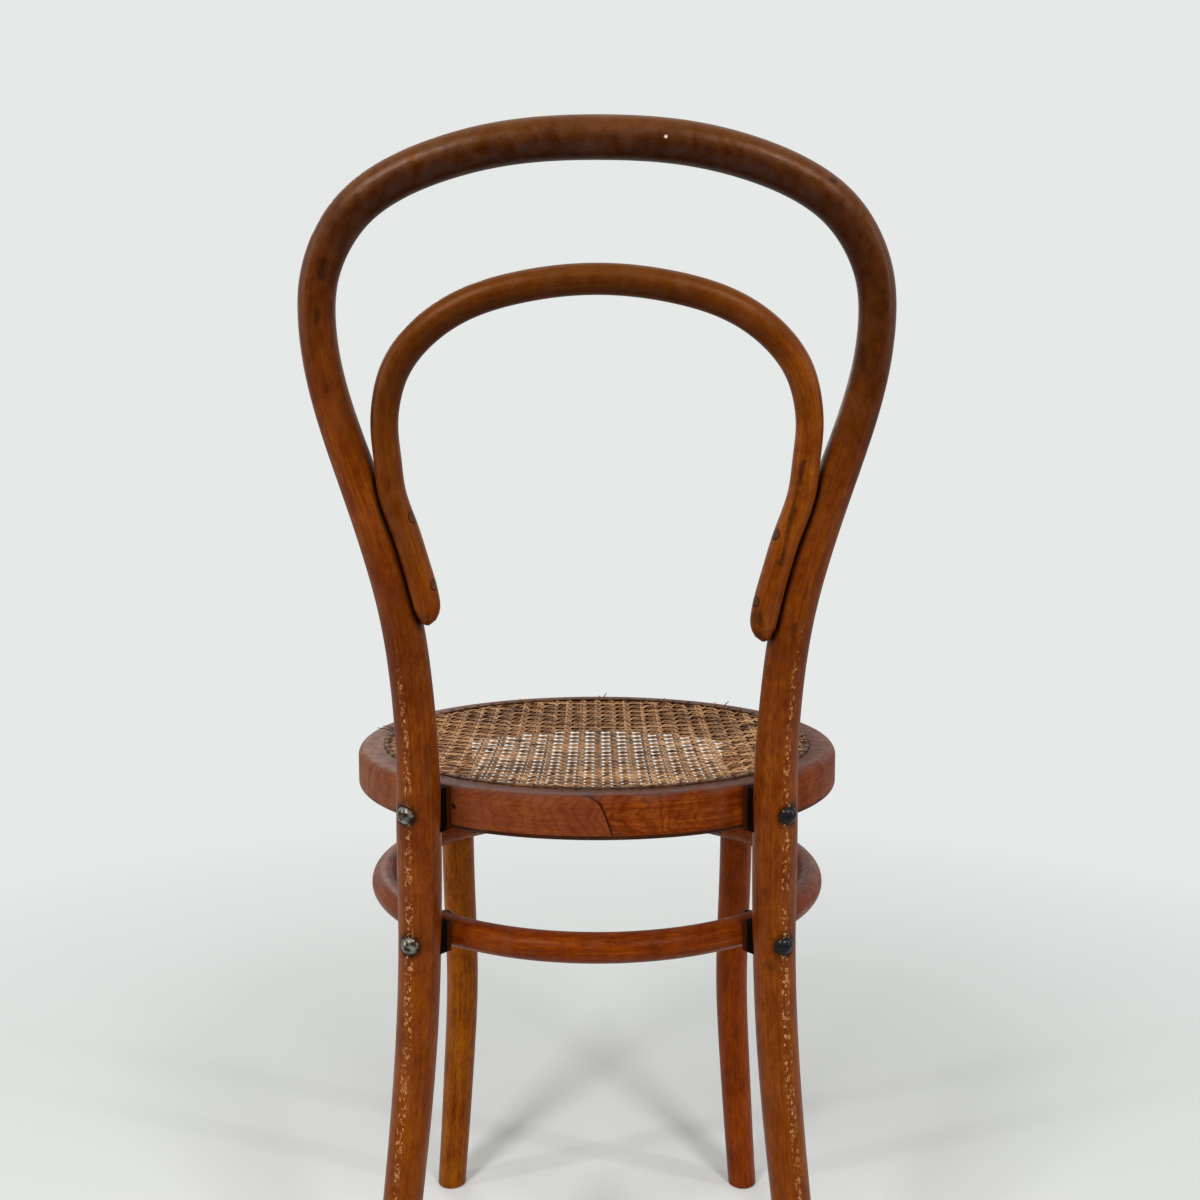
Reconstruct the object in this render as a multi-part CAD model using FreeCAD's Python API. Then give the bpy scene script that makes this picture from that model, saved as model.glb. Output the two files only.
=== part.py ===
import FreeCAD, Part
import math
import os

from collections import namedtuple

# Bentwood side chair with a round caned seat, in millimetres.
# The chair faces -Y, its back is at +Y, +X is its own left and +Z is up.
# Angles round the seat are counted from straight back, and the front legs' from straight ahead.

# Fits between wooden pieces, and between steel and wood
WOOD_FIT = 0.15
STEEL_FIT = 0.2

# Seat ring, bent from one length of wood and closed by a glued scarf
SEAT_HEIGHT = 480.0
SEAT_RADIUS = 195.5
SEAT_RING_DEPTH = 31.0
SEAT_RING_WIDTH = 28.0
SEAT_TOP_ROUND = 7.0
SEAT_LOWER_ROUND = 4.0
SEAT_INNER_ROUND = 3.0
SEAT_FLAT_DEPTH = 2.0

# Woven cane seat and the strip of binding cane that covers its edge
CANE_THICKNESS = 1.4
CANE_LEDGE = 7.5
CANE_RIM = 2.5
CANE_PITCH = 17.2
CANE_GAP = 9.6
BINDING_WIDTH = 4.0
BINDING_THICKNESS = 1.2

# Leg ring, a round rod bent to a hoop that ties the four legs
LEG_RING_HEIGHT = 367.0
LEG_RING_RADIUS = 175.8
LEG_RING_DIAMETER = 21.5
LEG_RING_FLAT_DEPTH = 2.0

# Rear legs and the hoop of the back, one bent rod
SEAT_JOINT_DIAMETER = 31.0
SEAT_JOINT_SPREAD = 124.0
RING_JOINT_DIAMETER = 30.6
RING_JOINT_SPREAD = 126.5
REAR_FOOT_SPREAD = 158.0
REAR_FOOT_BACK = 55.0
REAR_FOOT_DIAMETER = 27.0
FOOT_BEVEL = 1.5

# Middle of each rear leg below the ring: share of the ring's height, half spread, how far
# behind the ring joint, diameter
REAR_LEG_COURSE = (
    (0.25, 148.5, 27.0, 27.8),
    (0.50, 139.3, 8.0, 28.6),
    (0.80, 130.0, -2.0, 30.2),
)

# Back above the seat joint: rise, half width, how far behind the seat joint, diameter
BACK_COURSE = (
    (21.5, 123.4, 4.0, 30.0),
    (86.5, 124.8, 16.5, 28.2),
    (142.5, 130.7, 27.5, 27.8),
    (182.5, 139.5, 35.5, 27.2),
    (222.5, 150.9, 43.5, 26.2),
    (260.5, 162.4, 51.0, 24.8),
    (297.5, 170.7, 58.5, 23.5),
    (325.5, 172.8, 64.0, 23.0),
    (350.5, 170.0, 69.0, 23.2),
    (376.5, 158.3, 74.0, 24.0),
    (392.0, 145.0, 77.2, 24.4),
    (405.0, 126.0, 79.8, 24.6),
    (417.5, 95.5, 82.4, 24.9),
    (427.0, 54.0, 84.2, 25.2),
)
HOOP_TOP_RISE = 430.3
HOOP_TOP_BACK = 84.8
HOOP_TOP_DIAMETER = 25.4

# Inner loop of the back: rise above the seat joint, half width, diameter
LOOP_COURSE = (
    (241.5, 132.2, 17.6),
    (259.5, 133.2, 17.4),
    (278.5, 131.0, 17.7),
    (296.5, 124.7, 18.4),
    (314.5, 111.0, 19.0),
    (332.5, 85.5, 19.2),
    (344.5, 48.0, 19.1),
)
LOOP_TOP_RISE = 349.5
LOOP_TOP_DIAMETER = 19.0
LOOP_END_DIAMETER = 18.0
LOOP_LEAVES_HOOP_RISE = 220.0
LOOP_LEFT_TIP_RISE = 136.0
LOOP_RIGHT_TIP_RISE = 125.0
LOOP_TIP_LENGTH = 14.0
LOOP_TIP_DIAMETER = 4.0
LOOP_COPE = 0.8
LOOP_BEHIND_ANGLE = 22.0
LOOP_SEAM = -90.0

# Screws through the loop into the hoop, under wooden plugs
LOOP_SCREW_SPACING = 44.0
LOOP_SCREW_FROM_TIP = 25.0
PLUG_DIAMETER = 8.4
PLUG_LENGTH = 4.0
LOOP_SCREW_HEAD_DIAMETER = 7.6
LOOP_SCREW_HEAD_DEPTH = 2.6
LOOP_SCREW_DIAMETER = 4.0
LOOP_SCREW_GRIP = 14.0

# Front legs
FRONT_TOP_ANGLE = 132.36
FRONT_JOINT_ANGLE = 136.66
FRONT_LEG_TOP_DIAMETER = 31.0
FRONT_JOINT_DIAMETER = 30.4
FRONT_FOOT_OUT = 10.0
FRONT_FOOT_AHEAD = 4.5
FRONT_FOOT_DIAMETER = 27.0
FRONT_HOUSING_DEPTH = 6.5
FRONT_TENON_DIAMETER = 19.0
FRONT_TENON_LENGTH = 23.0
FRONT_TENON_END_GAP = 1.0

# Course of each front leg below the ring: share of the ring's height, how far outside and
# ahead of the ring joint, diameter
FRONT_LEG_COURSE = (
    (0.155, 6.0, 7.0, 28.0),
    (0.33, 2.0, 9.5, 29.2),
    (0.57, -2.0, 10.0, 30.2),
    (0.81, -0.4, 7.0, 30.4),
)

# Blackened packers between the rear legs and both rings
PACKER_WIDTH = 26.5
PACKER_WEB = 3.0

# Coach bolts through the rear legs, with washers and nuts inside the rings
SEAT_BOLT_ANGLE = 30.0
RING_BOLT_ANGLE = 22.0
BOLT_DIAMETER = 6.0
BOLT_HEAD_DIAMETER = 14.4
BOLT_HEAD_RISE = 5.2
BOLT_HEAD_SINK = 1.8
BOLT_NECK = 7.0
BOLT_NECK_LENGTH = 5.0
BOLT_TAIL = 1.5
WASHER_DIAMETER = 16.0
WASHER_THICKNESS = 1.4
WASHER_SINK = 1.6
NUT_ACROSS_FLATS = 10.0
NUT_THICKNESS = 5.0

# Screws from inside the leg ring into the front legs
FRONT_SCREW_HEAD_DIAMETER = 12.0
FRONT_SCREW_HEAD_RISE = 4.0
FRONT_SCREW_HEAD_SINK = 1.4
FRONT_SCREW_DIAMETER = 5.0
FRONT_SCREW_GRIP = 18.0

V = FreeCAD.Vector
UP = V(0, 0, 1)
BACK = V(0, 1, 0)
SIDES = {"left": 1, "right": -1}
RUN_OUT = 60.0

Station = namedtuple("Station", "point diameter")


def polar(radius, angle, height):
    """The point at a radius from the seat's axis, at an angle from straight back."""
    turn = math.radians(angle)
    return V(radius * math.sin(turn), radius * math.cos(turn), height)


def at_spread(radius, spread, height):
    """The point of a circle round the seat's axis with the given X, behind the axis."""
    return V(spread, math.sqrt(radius ** 2 - spread ** 2), height)


def on_side(point, side):
    """A left-hand point, moved to the named side of the chair."""
    return V(point.x * side, point.y, point.z)


def flat_direction(point):
    """The level unit direction from the seat's axis to a point."""
    return V(point.x, point.y, 0).normalize()


def rotation_to(axis):
    """The rotation that takes +Z to a level axis and +Y straight up."""
    return FreeCAD.Rotation(UP.cross(axis), UP, axis, "ZXY")


def rod_curve(stations):
    """The smooth centre line through the stations."""
    curve = Part.BSplineCurve()
    curve.interpolate([station.point for station in stations])
    return curve


def rod_section(point, tangent, radius, seam):
    """A round section square to a rod, with its seam turned from the outer side to the back."""
    side = BACK.cross(tangent).normalize()
    edge = Part.makeCircle(radius)
    turn = FreeCAD.Rotation(side, tangent.cross(side), tangent, "ZXY")
    edge.Placement = FreeCAD.Placement(point, turn * FreeCAD.Rotation(V(0, 0, 1), seam))
    return Part.Wire([edge])


def bent_rod(stations, grow=0.0, seam=0.0):
    """A round rod through the stations, with its radius grown for a clearance cut."""
    curve = rod_curve(stations)
    sections = []
    for station in stations:
        tangent = curve.tangent(curve.parameter(station.point))[0]
        sections.append(rod_section(station.point, tangent, station.diameter / 2 + grow, seam))
    return Part.makeLoft(sections, True, False)


def drill(centre, axis, diameter, start, end):
    """A round bar along an axis through a centre, from start to end along it."""
    return Part.makeCylinder(diameter / 2, end - start, centre + axis * start, axis)


def dome(centre, axis, diameter, rise, start):
    """A domed head on a flat round base at a distance along an axis."""
    half = diameter / 2
    ball = (half ** 2 + rise ** 2) / (2 * rise)
    halfway = math.asin(half / ball) / 2
    rim = V(half, 0, 0)
    bend = V(ball * math.sin(halfway), 0, rise - ball + ball * math.cos(halfway))
    crown = V(0, 0, rise)
    outline = [Part.makeLine(V(), rim), Part.Arc(rim, bend, crown).toShape(), Part.makeLine(crown, V())]
    head = Part.Face(Part.Wire(outline)).revolve(V(), UP, 360)
    head.Placement = FreeCAD.Placement(centre + axis * start, rotation_to(axis))
    return head


def below_floor():
    """A block under the floor, to cut the feet level."""
    half = 4 * SEAT_RADIUS
    return Part.makeBox(2 * half, 2 * half, half, V(-half, -half, -half))


def level_foot(leg):
    """Cut a leg off at the floor and take the sharp edge off its foot."""
    cut = leg.cut(below_floor())
    edges = [edge for edge in cut.Edges if edge.BoundBox.ZMax < 1e-3]
    return cut.makeChamfer(FOOT_BEVEL, edges)


def foot_station(foot, above, diameter):
    """A station below the floor, in line with the foot and the station above it."""
    down = (foot - above).normalize()
    return Station(foot + down * diameter, diameter)


# Places where the legs meet the rings

SEAT_JOINT_HEIGHT = SEAT_HEIGHT - SEAT_RING_DEPTH / 2
SEAT_RING_BASE = SEAT_HEIGHT - SEAT_RING_DEPTH
LEG_RING_OUTER = LEG_RING_RADIUS + LEG_RING_DIAMETER / 2
LEG_RING_INNER = LEG_RING_RADIUS - LEG_RING_DIAMETER / 2
SEAT_FLAT_RADIUS = SEAT_RADIUS - SEAT_FLAT_DEPTH
RING_FLAT_RADIUS = LEG_RING_OUTER - LEG_RING_FLAT_DEPTH
SEAT_JOINT = at_spread(
    SEAT_FLAT_RADIUS + PACKER_WEB + SEAT_JOINT_DIAMETER / 2,
    SEAT_JOINT_SPREAD, SEAT_JOINT_HEIGHT,
)
RING_JOINT = at_spread(
    RING_FLAT_RADIUS + PACKER_WEB + RING_JOINT_DIAMETER / 2,
    RING_JOINT_SPREAD, LEG_RING_HEIGHT,
)
FRONT_TOP = polar(SEAT_RADIUS - FRONT_LEG_TOP_DIAMETER / 2, FRONT_TOP_ANGLE, SEAT_RING_BASE)
FRONT_JOINT = polar(
    LEG_RING_OUTER + FRONT_JOINT_DIAMETER / 2 - FRONT_HOUSING_DEPTH,
    FRONT_JOINT_ANGLE, LEG_RING_HEIGHT,
)


# Back frame

def back_half():
    """The stations of the left half of the back frame, from below the floor to the shoulder."""
    foot = V(REAR_FOOT_SPREAD, RING_JOINT.y + REAR_FOOT_BACK, 0)
    stations = [Station(foot, REAR_FOOT_DIAMETER)]
    for share, spread, behind, diameter in REAR_LEG_COURSE:
        point = V(spread, RING_JOINT.y + behind, share * LEG_RING_HEIGHT)
        stations.append(Station(point, diameter))
    stations.insert(0, foot_station(foot, stations[1].point, REAR_FOOT_DIAMETER))
    stations.append(Station(RING_JOINT, RING_JOINT_DIAMETER))
    stations.append(Station(SEAT_JOINT, SEAT_JOINT_DIAMETER))
    for rise, spread, behind, diameter in BACK_COURSE:
        point = V(spread, SEAT_JOINT.y + behind, SEAT_JOINT.z + rise)
        stations.append(Station(point, diameter))
    return stations


def mirrored(half, top):
    """A whole course: the left half, the top, and the left half mirrored to the right."""
    right = [Station(on_side(point, -1), diameter) for point, diameter in reversed(half)]
    return half + [top] + right


def back_stations():
    """The stations of the whole back frame, from the left foot over the top."""
    top = V(0, SEAT_JOINT.y + HOOP_TOP_BACK, SEAT_JOINT.z + HOOP_TOP_RISE)
    return mirrored(back_half(), Station(top, HOOP_TOP_DIAMETER))


def hoop_at(rise):
    """Centre and diameter of the left side of the hoop at a rise above the seat joint."""
    height = SEAT_JOINT.z + rise
    half = back_half()
    curve = rod_curve(half)
    low, high = curve.parameter(SEAT_JOINT), curve.LastParameter
    for _ in range(50):
        middle = (low + high) / 2
        if curve.value(middle).z < height:
            low = middle
        else:
            high = middle
    for below, above in zip(half, half[1:]):
        if below.point.z <= height < above.point.z:
            share = (height - below.point.z) / (above.point.z - below.point.z)
            diameter = below.diameter + share * (above.diameter - below.diameter)
    return Station(curve.value(low), diameter)


# Inner loop

def loop_side_direction():
    """The level direction from the hoop's centre to the loop's, on the left side."""
    turn = math.radians(LOOP_BEHIND_ANGLE)
    return V(-math.cos(turn), math.sin(turn), 0)


def loop_against_hoop(rise, diameter=LOOP_END_DIAMETER):
    """The loop's centre where it lies against the left side of the hoop."""
    hoop = hoop_at(rise)
    reach = hoop.diameter / 2 + diameter / 2 - LOOP_COPE
    return hoop.point + loop_side_direction() * reach


def loop_end(tip_rise):
    """Stations of one left-hand loop end, from its rounded tip to where it leaves the hoop."""
    stations = []
    steps = 4
    for step in range(steps):
        turn = math.radians(90.0 * step / steps)
        diameter = LOOP_TIP_DIAMETER + (LOOP_END_DIAMETER - LOOP_TIP_DIAMETER) * math.sin(turn)
        rise = tip_rise + LOOP_TIP_LENGTH * (1 - math.cos(turn))
        stations.append(Station(loop_against_hoop(rise, diameter), diameter))
    full = tip_rise + LOOP_TIP_LENGTH
    runs = 3
    for step in range(runs + 1):
        rise = full + (LOOP_LEAVES_HOOP_RISE - full) * step / runs
        stations.append(Station(loop_against_hoop(rise), LOOP_END_DIAMETER))
    return stations


def loop_stations():
    """The stations of the whole inner loop, from the left tip over the top."""
    behind = loop_against_hoop(LOOP_LEAVES_HOOP_RISE).y - hoop_at(LOOP_LEAVES_HOOP_RISE).point.y
    arch = []
    for rise, spread, diameter in LOOP_COURSE:
        hoop = hoop_at(rise)
        arch.append(Station(V(spread, hoop.point.y + behind, SEAT_JOINT.z + rise), diameter))
    crown = V(0, hoop_at(LOOP_TOP_RISE).point.y + behind, SEAT_JOINT.z + LOOP_TOP_RISE)
    left = loop_end(LOOP_LEFT_TIP_RISE) + arch
    right = loop_end(LOOP_RIGHT_TIP_RISE) + arch
    right = [Station(on_side(point, -1), diameter) for point, diameter in reversed(right)]
    return left + [Station(crown, LOOP_TOP_DIAMETER)] + right


LoopScrew = namedtuple("LoopScrew", "centre axis reach")


def loop_screw_places():
    """Loop centre, inward axis and distance to the hoop's centre for each loop screw."""
    places = []
    for name, tip_rise in (("left", LOOP_LEFT_TIP_RISE), ("right", LOOP_RIGHT_TIP_RISE)):
        for row in range(2):
            rise = tip_rise + LOOP_SCREW_FROM_TIP + row * LOOP_SCREW_SPACING
            loop, hoop = loop_against_hoop(rise), hoop_at(rise)
            axis = on_side(loop_side_direction(), SIDES[name])
            reach = (loop - hoop.point).Length
            places.append(LoopScrew(on_side(loop, SIDES[name]), axis, reach))
    return places


def loop_screw_seat():
    """Where the screw heads bear, as a distance from the loop's centre along the axis."""
    return LOOP_END_DIAMETER / 2 - PLUG_LENGTH - LOOP_SCREW_HEAD_DEPTH


def loop_screw_tip():
    """Where the screw shanks end, as a distance from the loop's centre along the axis."""
    return -(LOOP_END_DIAMETER / 2 - LOOP_COPE + LOOP_SCREW_GRIP)


def loop_screw_cuts(grow):
    """The pilot holes and counterbores of the loop screws."""
    cuts = []
    for place in loop_screw_places():
        centre, axis = place.centre, place.axis
        seat = loop_screw_seat()
        cuts.append(drill(centre, axis, PLUG_DIAMETER, seat, LOOP_END_DIAMETER))
        cuts.append(drill(centre, axis, LOOP_SCREW_DIAMETER + 2 * grow, loop_screw_tip() - grow, seat))
    return cuts


def loop_screw(place):
    """A wood screw with a flat head, under its plug."""
    seat = loop_screw_seat()
    head = drill(place.centre, place.axis, LOOP_SCREW_HEAD_DIAMETER, seat, seat + LOOP_SCREW_HEAD_DEPTH)
    shank = drill(place.centre, place.axis, LOOP_SCREW_DIAMETER, loop_screw_tip(), seat)
    return head.fuse(shank).removeSplitter()


def loop_plug(place, loop_rod):
    """A wooden plug over a screw head, pared flush with the loop."""
    start = loop_screw_seat() + LOOP_SCREW_HEAD_DEPTH
    bar = drill(place.centre, place.axis, PLUG_DIAMETER - 2 * WOOD_FIT, start, LOOP_END_DIAMETER)
    return bar.common(loop_rod)


# Coach bolts

Bolt = namedtuple("Bolt", "centre axis head seat")


def reach_to_circle(point, axis, radius):
    """Distance from a point, back along an axis, to a circle round the seat's axis."""
    along = point.x * axis.x + point.y * axis.y
    square = point.x ** 2 + point.y ** 2
    return along - math.sqrt(along ** 2 - square + radius ** 2)


def bolt_at(joint, diameter, angle, inner_radius, side):
    """Place of the coach bolt through a rear leg and the ring behind it."""
    centre = on_side(joint, side)
    axis = on_side(polar(1.0, angle, 0.0), side)
    head = diameter / 2 - BOLT_HEAD_SINK
    seat = reach_to_circle(centre, axis, inner_radius) - WASHER_SINK
    return Bolt(centre, axis, head, seat)


def seat_bolt_at(side):
    """Place of the bolt at the seat ring."""
    inner = SEAT_RADIUS - SEAT_RING_WIDTH
    return bolt_at(SEAT_JOINT, SEAT_JOINT_DIAMETER, SEAT_BOLT_ANGLE, inner, side)


def ring_bolt_at(side):
    """Place of the bolt at the leg ring."""
    return bolt_at(RING_JOINT, RING_JOINT_DIAMETER, RING_BOLT_ANGLE, LEG_RING_INNER, side)


def bolt_end(bolt):
    """Where a bolt's thread ends, as a distance inward from the leg's centre."""
    return bolt.seat + WASHER_THICKNESS + NUT_THICKNESS + BOLT_TAIL


def neck_block(bolt, width, length):
    """A square block under the bolt's head."""
    block = Part.makeBox(width, width, length, V(-width / 2, -width / 2, 0))
    block.Placement = FreeCAD.Placement(
        bolt.centre + bolt.axis * (bolt.head - length), rotation_to(bolt.axis)
    )
    return block


def coach_bolt(bolt):
    """A coach bolt: domed head, square neck and round shank."""
    head = dome(bolt.centre, bolt.axis, BOLT_HEAD_DIAMETER, BOLT_HEAD_RISE, bolt.head)
    neck = neck_block(bolt, BOLT_NECK, BOLT_NECK_LENGTH)
    shank = drill(bolt.centre, bolt.axis, BOLT_DIAMETER, -bolt_end(bolt), bolt.head)
    return head.fuse([neck, shank]).removeSplitter()


def bolt_cuts(bolt):
    """What a bolt takes out of the leg, the packer and the ring."""
    shank = BOLT_DIAMETER + 2 * STEEL_FIT
    head = BOLT_HEAD_DIAMETER + 2 * STEEL_FIT
    spot = WASHER_DIAMETER + 4 * STEEL_FIT
    return [
        drill(bolt.centre, bolt.axis, shank, -bolt.seat - RUN_OUT, bolt.head + 1),
        drill(bolt.centre, bolt.axis, head, bolt.head, bolt.head + RUN_OUT),
        neck_block(bolt, BOLT_NECK + 2 * STEEL_FIT, BOLT_NECK_LENGTH + STEEL_FIT),
        drill(bolt.centre, bolt.axis, spot, -bolt.seat - RUN_OUT, -bolt.seat),
    ]


def washer(bolt):
    """A flat washer against the ring's inner face."""
    far = -bolt.seat - WASHER_THICKNESS
    disc = drill(bolt.centre, bolt.axis, WASHER_DIAMETER, far, -bolt.seat)
    bore = drill(bolt.centre, bolt.axis, BOLT_DIAMETER + 2 * STEEL_FIT, far - 1, -bolt.seat + 1)
    return disc.cut(bore)


def nut(bolt):
    """A hexagon nut on the washer."""
    near = -bolt.seat - WASHER_THICKNESS
    corner = NUT_ACROSS_FLATS / math.sqrt(3)
    points = [V(corner * math.cos(turn), corner * math.sin(turn), 0)
              for turn in (math.radians(60 * k) for k in range(7))]
    prism = Part.Face(Part.makePolygon(points)).extrude(V(0, 0, NUT_THICKNESS))
    prism.Placement = FreeCAD.Placement(
        bolt.centre + bolt.axis * (near - NUT_THICKNESS), rotation_to(bolt.axis)
    )
    bore = BOLT_DIAMETER + 0.5 * STEEL_FIT
    return prism.cut(drill(bolt.centre, bolt.axis, bore, near - NUT_THICKNESS - 1, near + 1))


# Rings

def flat_block(joint, flat_radius, side):
    """The block beyond a flat that is planed on a ring for a packer."""
    outward = flat_direction(on_side(joint, side))
    block = Part.makeBox(RUN_OUT, RUN_OUT, RUN_OUT, V(-RUN_OUT / 2, -RUN_OUT / 2, 0))
    centre = outward * flat_radius + UP * joint.z
    block.Placement = FreeCAD.Placement(centre, rotation_to(outward))
    return block


def level_rim(ring, radius, height):
    """The level round edge of a ring that has a radius and lies at a height."""
    return [edge for edge in ring.Edges
            if abs(edge.BoundBox.ZMax - height) < 1e-3 and abs(edge.BoundBox.ZMin - height) < 1e-3
            and abs(edge.BoundBox.XMax - radius) < 0.5]


def seat_ring():
    """The seat ring, with flats and holes for the joints and a ledge for the cane."""
    inner = SEAT_RADIUS - SEAT_RING_WIDTH
    disc = Part.makeCylinder(SEAT_RADIUS, SEAT_RING_DEPTH, V(0, 0, SEAT_RING_BASE))
    ring = disc.cut(Part.makeCylinder(inner, SEAT_RING_DEPTH, V(0, 0, SEAT_RING_BASE)))
    ring = ring.makeFillet(SEAT_TOP_ROUND, level_rim(ring, SEAT_RADIUS, SEAT_HEIGHT))
    ring = ring.makeFillet(SEAT_LOWER_ROUND, level_rim(ring, SEAT_RADIUS, SEAT_RING_BASE))
    ring = ring.makeFillet(SEAT_INNER_ROUND, level_rim(ring, inner, SEAT_RING_BASE))
    ledge = Part.makeCylinder(
        inner + CANE_LEDGE, CANE_THICKNESS, V(0, 0, SEAT_HEIGHT - CANE_THICKNESS)
    )
    cuts = [ledge]
    for side in SIDES.values():
        cuts.append(flat_block(SEAT_JOINT, SEAT_FLAT_RADIUS, side))
        cuts += bolt_cuts(seat_bolt_at(side))[:1] + bolt_cuts(seat_bolt_at(side))[3:]
        cuts.append(Part.makeCylinder(
            FRONT_TENON_DIAMETER / 2 + WOOD_FIT, FRONT_TENON_LENGTH + FRONT_TENON_END_GAP,
            on_side(FRONT_TOP, side),
        ))
    return ring.cut(cuts)


def leg_ring(front_leg_cutters):
    """The leg ring, housed for the front legs and planed flat for the rear packers."""
    ring = Part.makeTorus(LEG_RING_RADIUS, LEG_RING_DIAMETER / 2, V(0, 0, LEG_RING_HEIGHT))
    cuts = list(front_leg_cutters)
    for side in SIDES.values():
        cuts.append(flat_block(RING_JOINT, RING_FLAT_RADIUS, side))
        cuts += bolt_cuts(ring_bolt_at(side))[:1] + bolt_cuts(ring_bolt_at(side))[3:]
        cuts += front_screw_cuts(side)
    return ring.cut(cuts)


def packer(joint, flat_radius, depth, base, bolt, leg_cutter, side):
    """A packer between a rear leg and a ring, hollowed to the leg."""
    outward = flat_direction(on_side(joint, side))
    length = PACKER_WEB + SEAT_JOINT_DIAMETER / 4
    block = Part.makeBox(PACKER_WIDTH, depth, length, V(-PACKER_WIDTH / 2, 0, 0))
    centre = outward * flat_radius + UP * base
    block.Placement = FreeCAD.Placement(centre, rotation_to(outward))
    return block.cut([leg_cutter, bolt_cuts(bolt)[0]])


# Cane

def cane_panel():
    """The woven cane as one flat net, with its gaps in a square grid."""
    radius = SEAT_RADIUS - SEAT_RING_WIDTH + CANE_LEDGE - WOOD_FIT
    open_radius = SEAT_RADIUS - SEAT_RING_WIDTH - CANE_RIM - CANE_GAP / 2
    base = V(0, 0, SEAT_HEIGHT - CANE_THICKNESS)
    outline = Part.Wire([Part.makeCircle(radius, base)])
    gaps = []
    half = int(open_radius // CANE_PITCH) + 1
    for row in range(-half, half + 1):
        for column in range(-half, half + 1):
            centre = V(column * CANE_PITCH, row * CANE_PITCH, base.z)
            if math.hypot(centre.x, centre.y) <= open_radius:
                gaps.append(Part.Wire([Part.makeCircle(CANE_GAP / 2, centre)]))
    print("gaps in the cane:", len(gaps))
    net = Part.makeFace([outline] + gaps, "Part::FaceMakerBullseye")
    return net.extrude(V(0, 0, CANE_THICKNESS))


def cane_binding():
    """The strip of binding cane that covers the cane's edge."""
    outer = SEAT_RADIUS - SEAT_RING_WIDTH + CANE_LEDGE
    base = V(0, 0, SEAT_HEIGHT)
    strip = Part.makeCylinder(outer, BINDING_THICKNESS, base)
    return strip.cut(Part.makeCylinder(outer - BINDING_WIDTH, BINDING_THICKNESS, base))


# Front legs

def front_leg_stations(side):
    """The stations of a front leg, from below the floor to its shoulder."""
    foot = V(FRONT_JOINT.x + FRONT_FOOT_OUT, FRONT_JOINT.y - FRONT_FOOT_AHEAD, 0)
    stations = [Station(foot, FRONT_FOOT_DIAMETER)]
    for share, outside, ahead, diameter in FRONT_LEG_COURSE:
        point = V(FRONT_JOINT.x + outside, FRONT_JOINT.y - ahead, share * LEG_RING_HEIGHT)
        stations.append(Station(point, diameter))
    stations.insert(0, foot_station(foot, stations[1].point, FRONT_FOOT_DIAMETER))
    stations.append(Station(FRONT_JOINT, FRONT_JOINT_DIAMETER))
    stations.append(Station(FRONT_TOP, FRONT_LEG_TOP_DIAMETER))
    beyond = FRONT_TOP + (FRONT_TOP - FRONT_JOINT).normalize() * FRONT_LEG_TOP_DIAMETER
    stations.append(Station(beyond, FRONT_LEG_TOP_DIAMETER))
    return [Station(on_side(point, side), diameter) for point, diameter in stations]


def front_rod(side, grow=0.0):
    """The bent rod of a front leg, cut level at its shoulder."""
    half = 4 * SEAT_RADIUS
    above = Part.makeBox(2 * half, 2 * half, half, V(-half, -half, SEAT_RING_BASE))
    return bent_rod(front_leg_stations(side), grow).cut(above)


def front_leg(side):
    """A front leg with its tenon."""
    rod = level_foot(front_rod(side))
    top = on_side(FRONT_TOP, side) - UP
    tenon = Part.makeCylinder(FRONT_TENON_DIAMETER / 2, FRONT_TENON_LENGTH + 1, top)
    return rod.fuse(tenon).removeSplitter().cut(front_screw_cuts(side))


FrontScrew = namedtuple("FrontScrew", "centre axis head tip")


def front_screw_at(side):
    """Place of the screw from inside the leg ring into a front leg."""
    axis = flat_direction(on_side(FRONT_JOINT, side)) * -1
    centre = on_side(FRONT_JOINT, side)
    reach = math.hypot(FRONT_JOINT.x, FRONT_JOINT.y)
    head = reach - LEG_RING_INNER - FRONT_SCREW_HEAD_SINK
    tip = FRONT_JOINT_DIAMETER / 2 - FRONT_SCREW_GRIP
    return FrontScrew(centre, axis, head, tip)


def front_screw_cuts(side):
    """The hole of a front screw through the ring and into the leg."""
    screw = front_screw_at(side)
    shank = FRONT_SCREW_DIAMETER + 2 * WOOD_FIT
    spot = FRONT_SCREW_HEAD_DIAMETER + 4 * WOOD_FIT
    return [
        drill(screw.centre, screw.axis, shank, screw.tip - WOOD_FIT, screw.head + 1),
        drill(screw.centre, screw.axis, spot, screw.head, screw.head + RUN_OUT),
    ]


def front_screw(side):
    """A round-headed screw from inside the leg ring into a front leg."""
    screw = front_screw_at(side)
    head = dome(screw.centre, screw.axis, FRONT_SCREW_HEAD_DIAMETER, FRONT_SCREW_HEAD_RISE, screw.head)
    shank = drill(screw.centre, screw.axis, FRONT_SCREW_DIAMETER, screw.tip, screw.head)
    return head.fuse(shank).removeSplitter()


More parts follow.
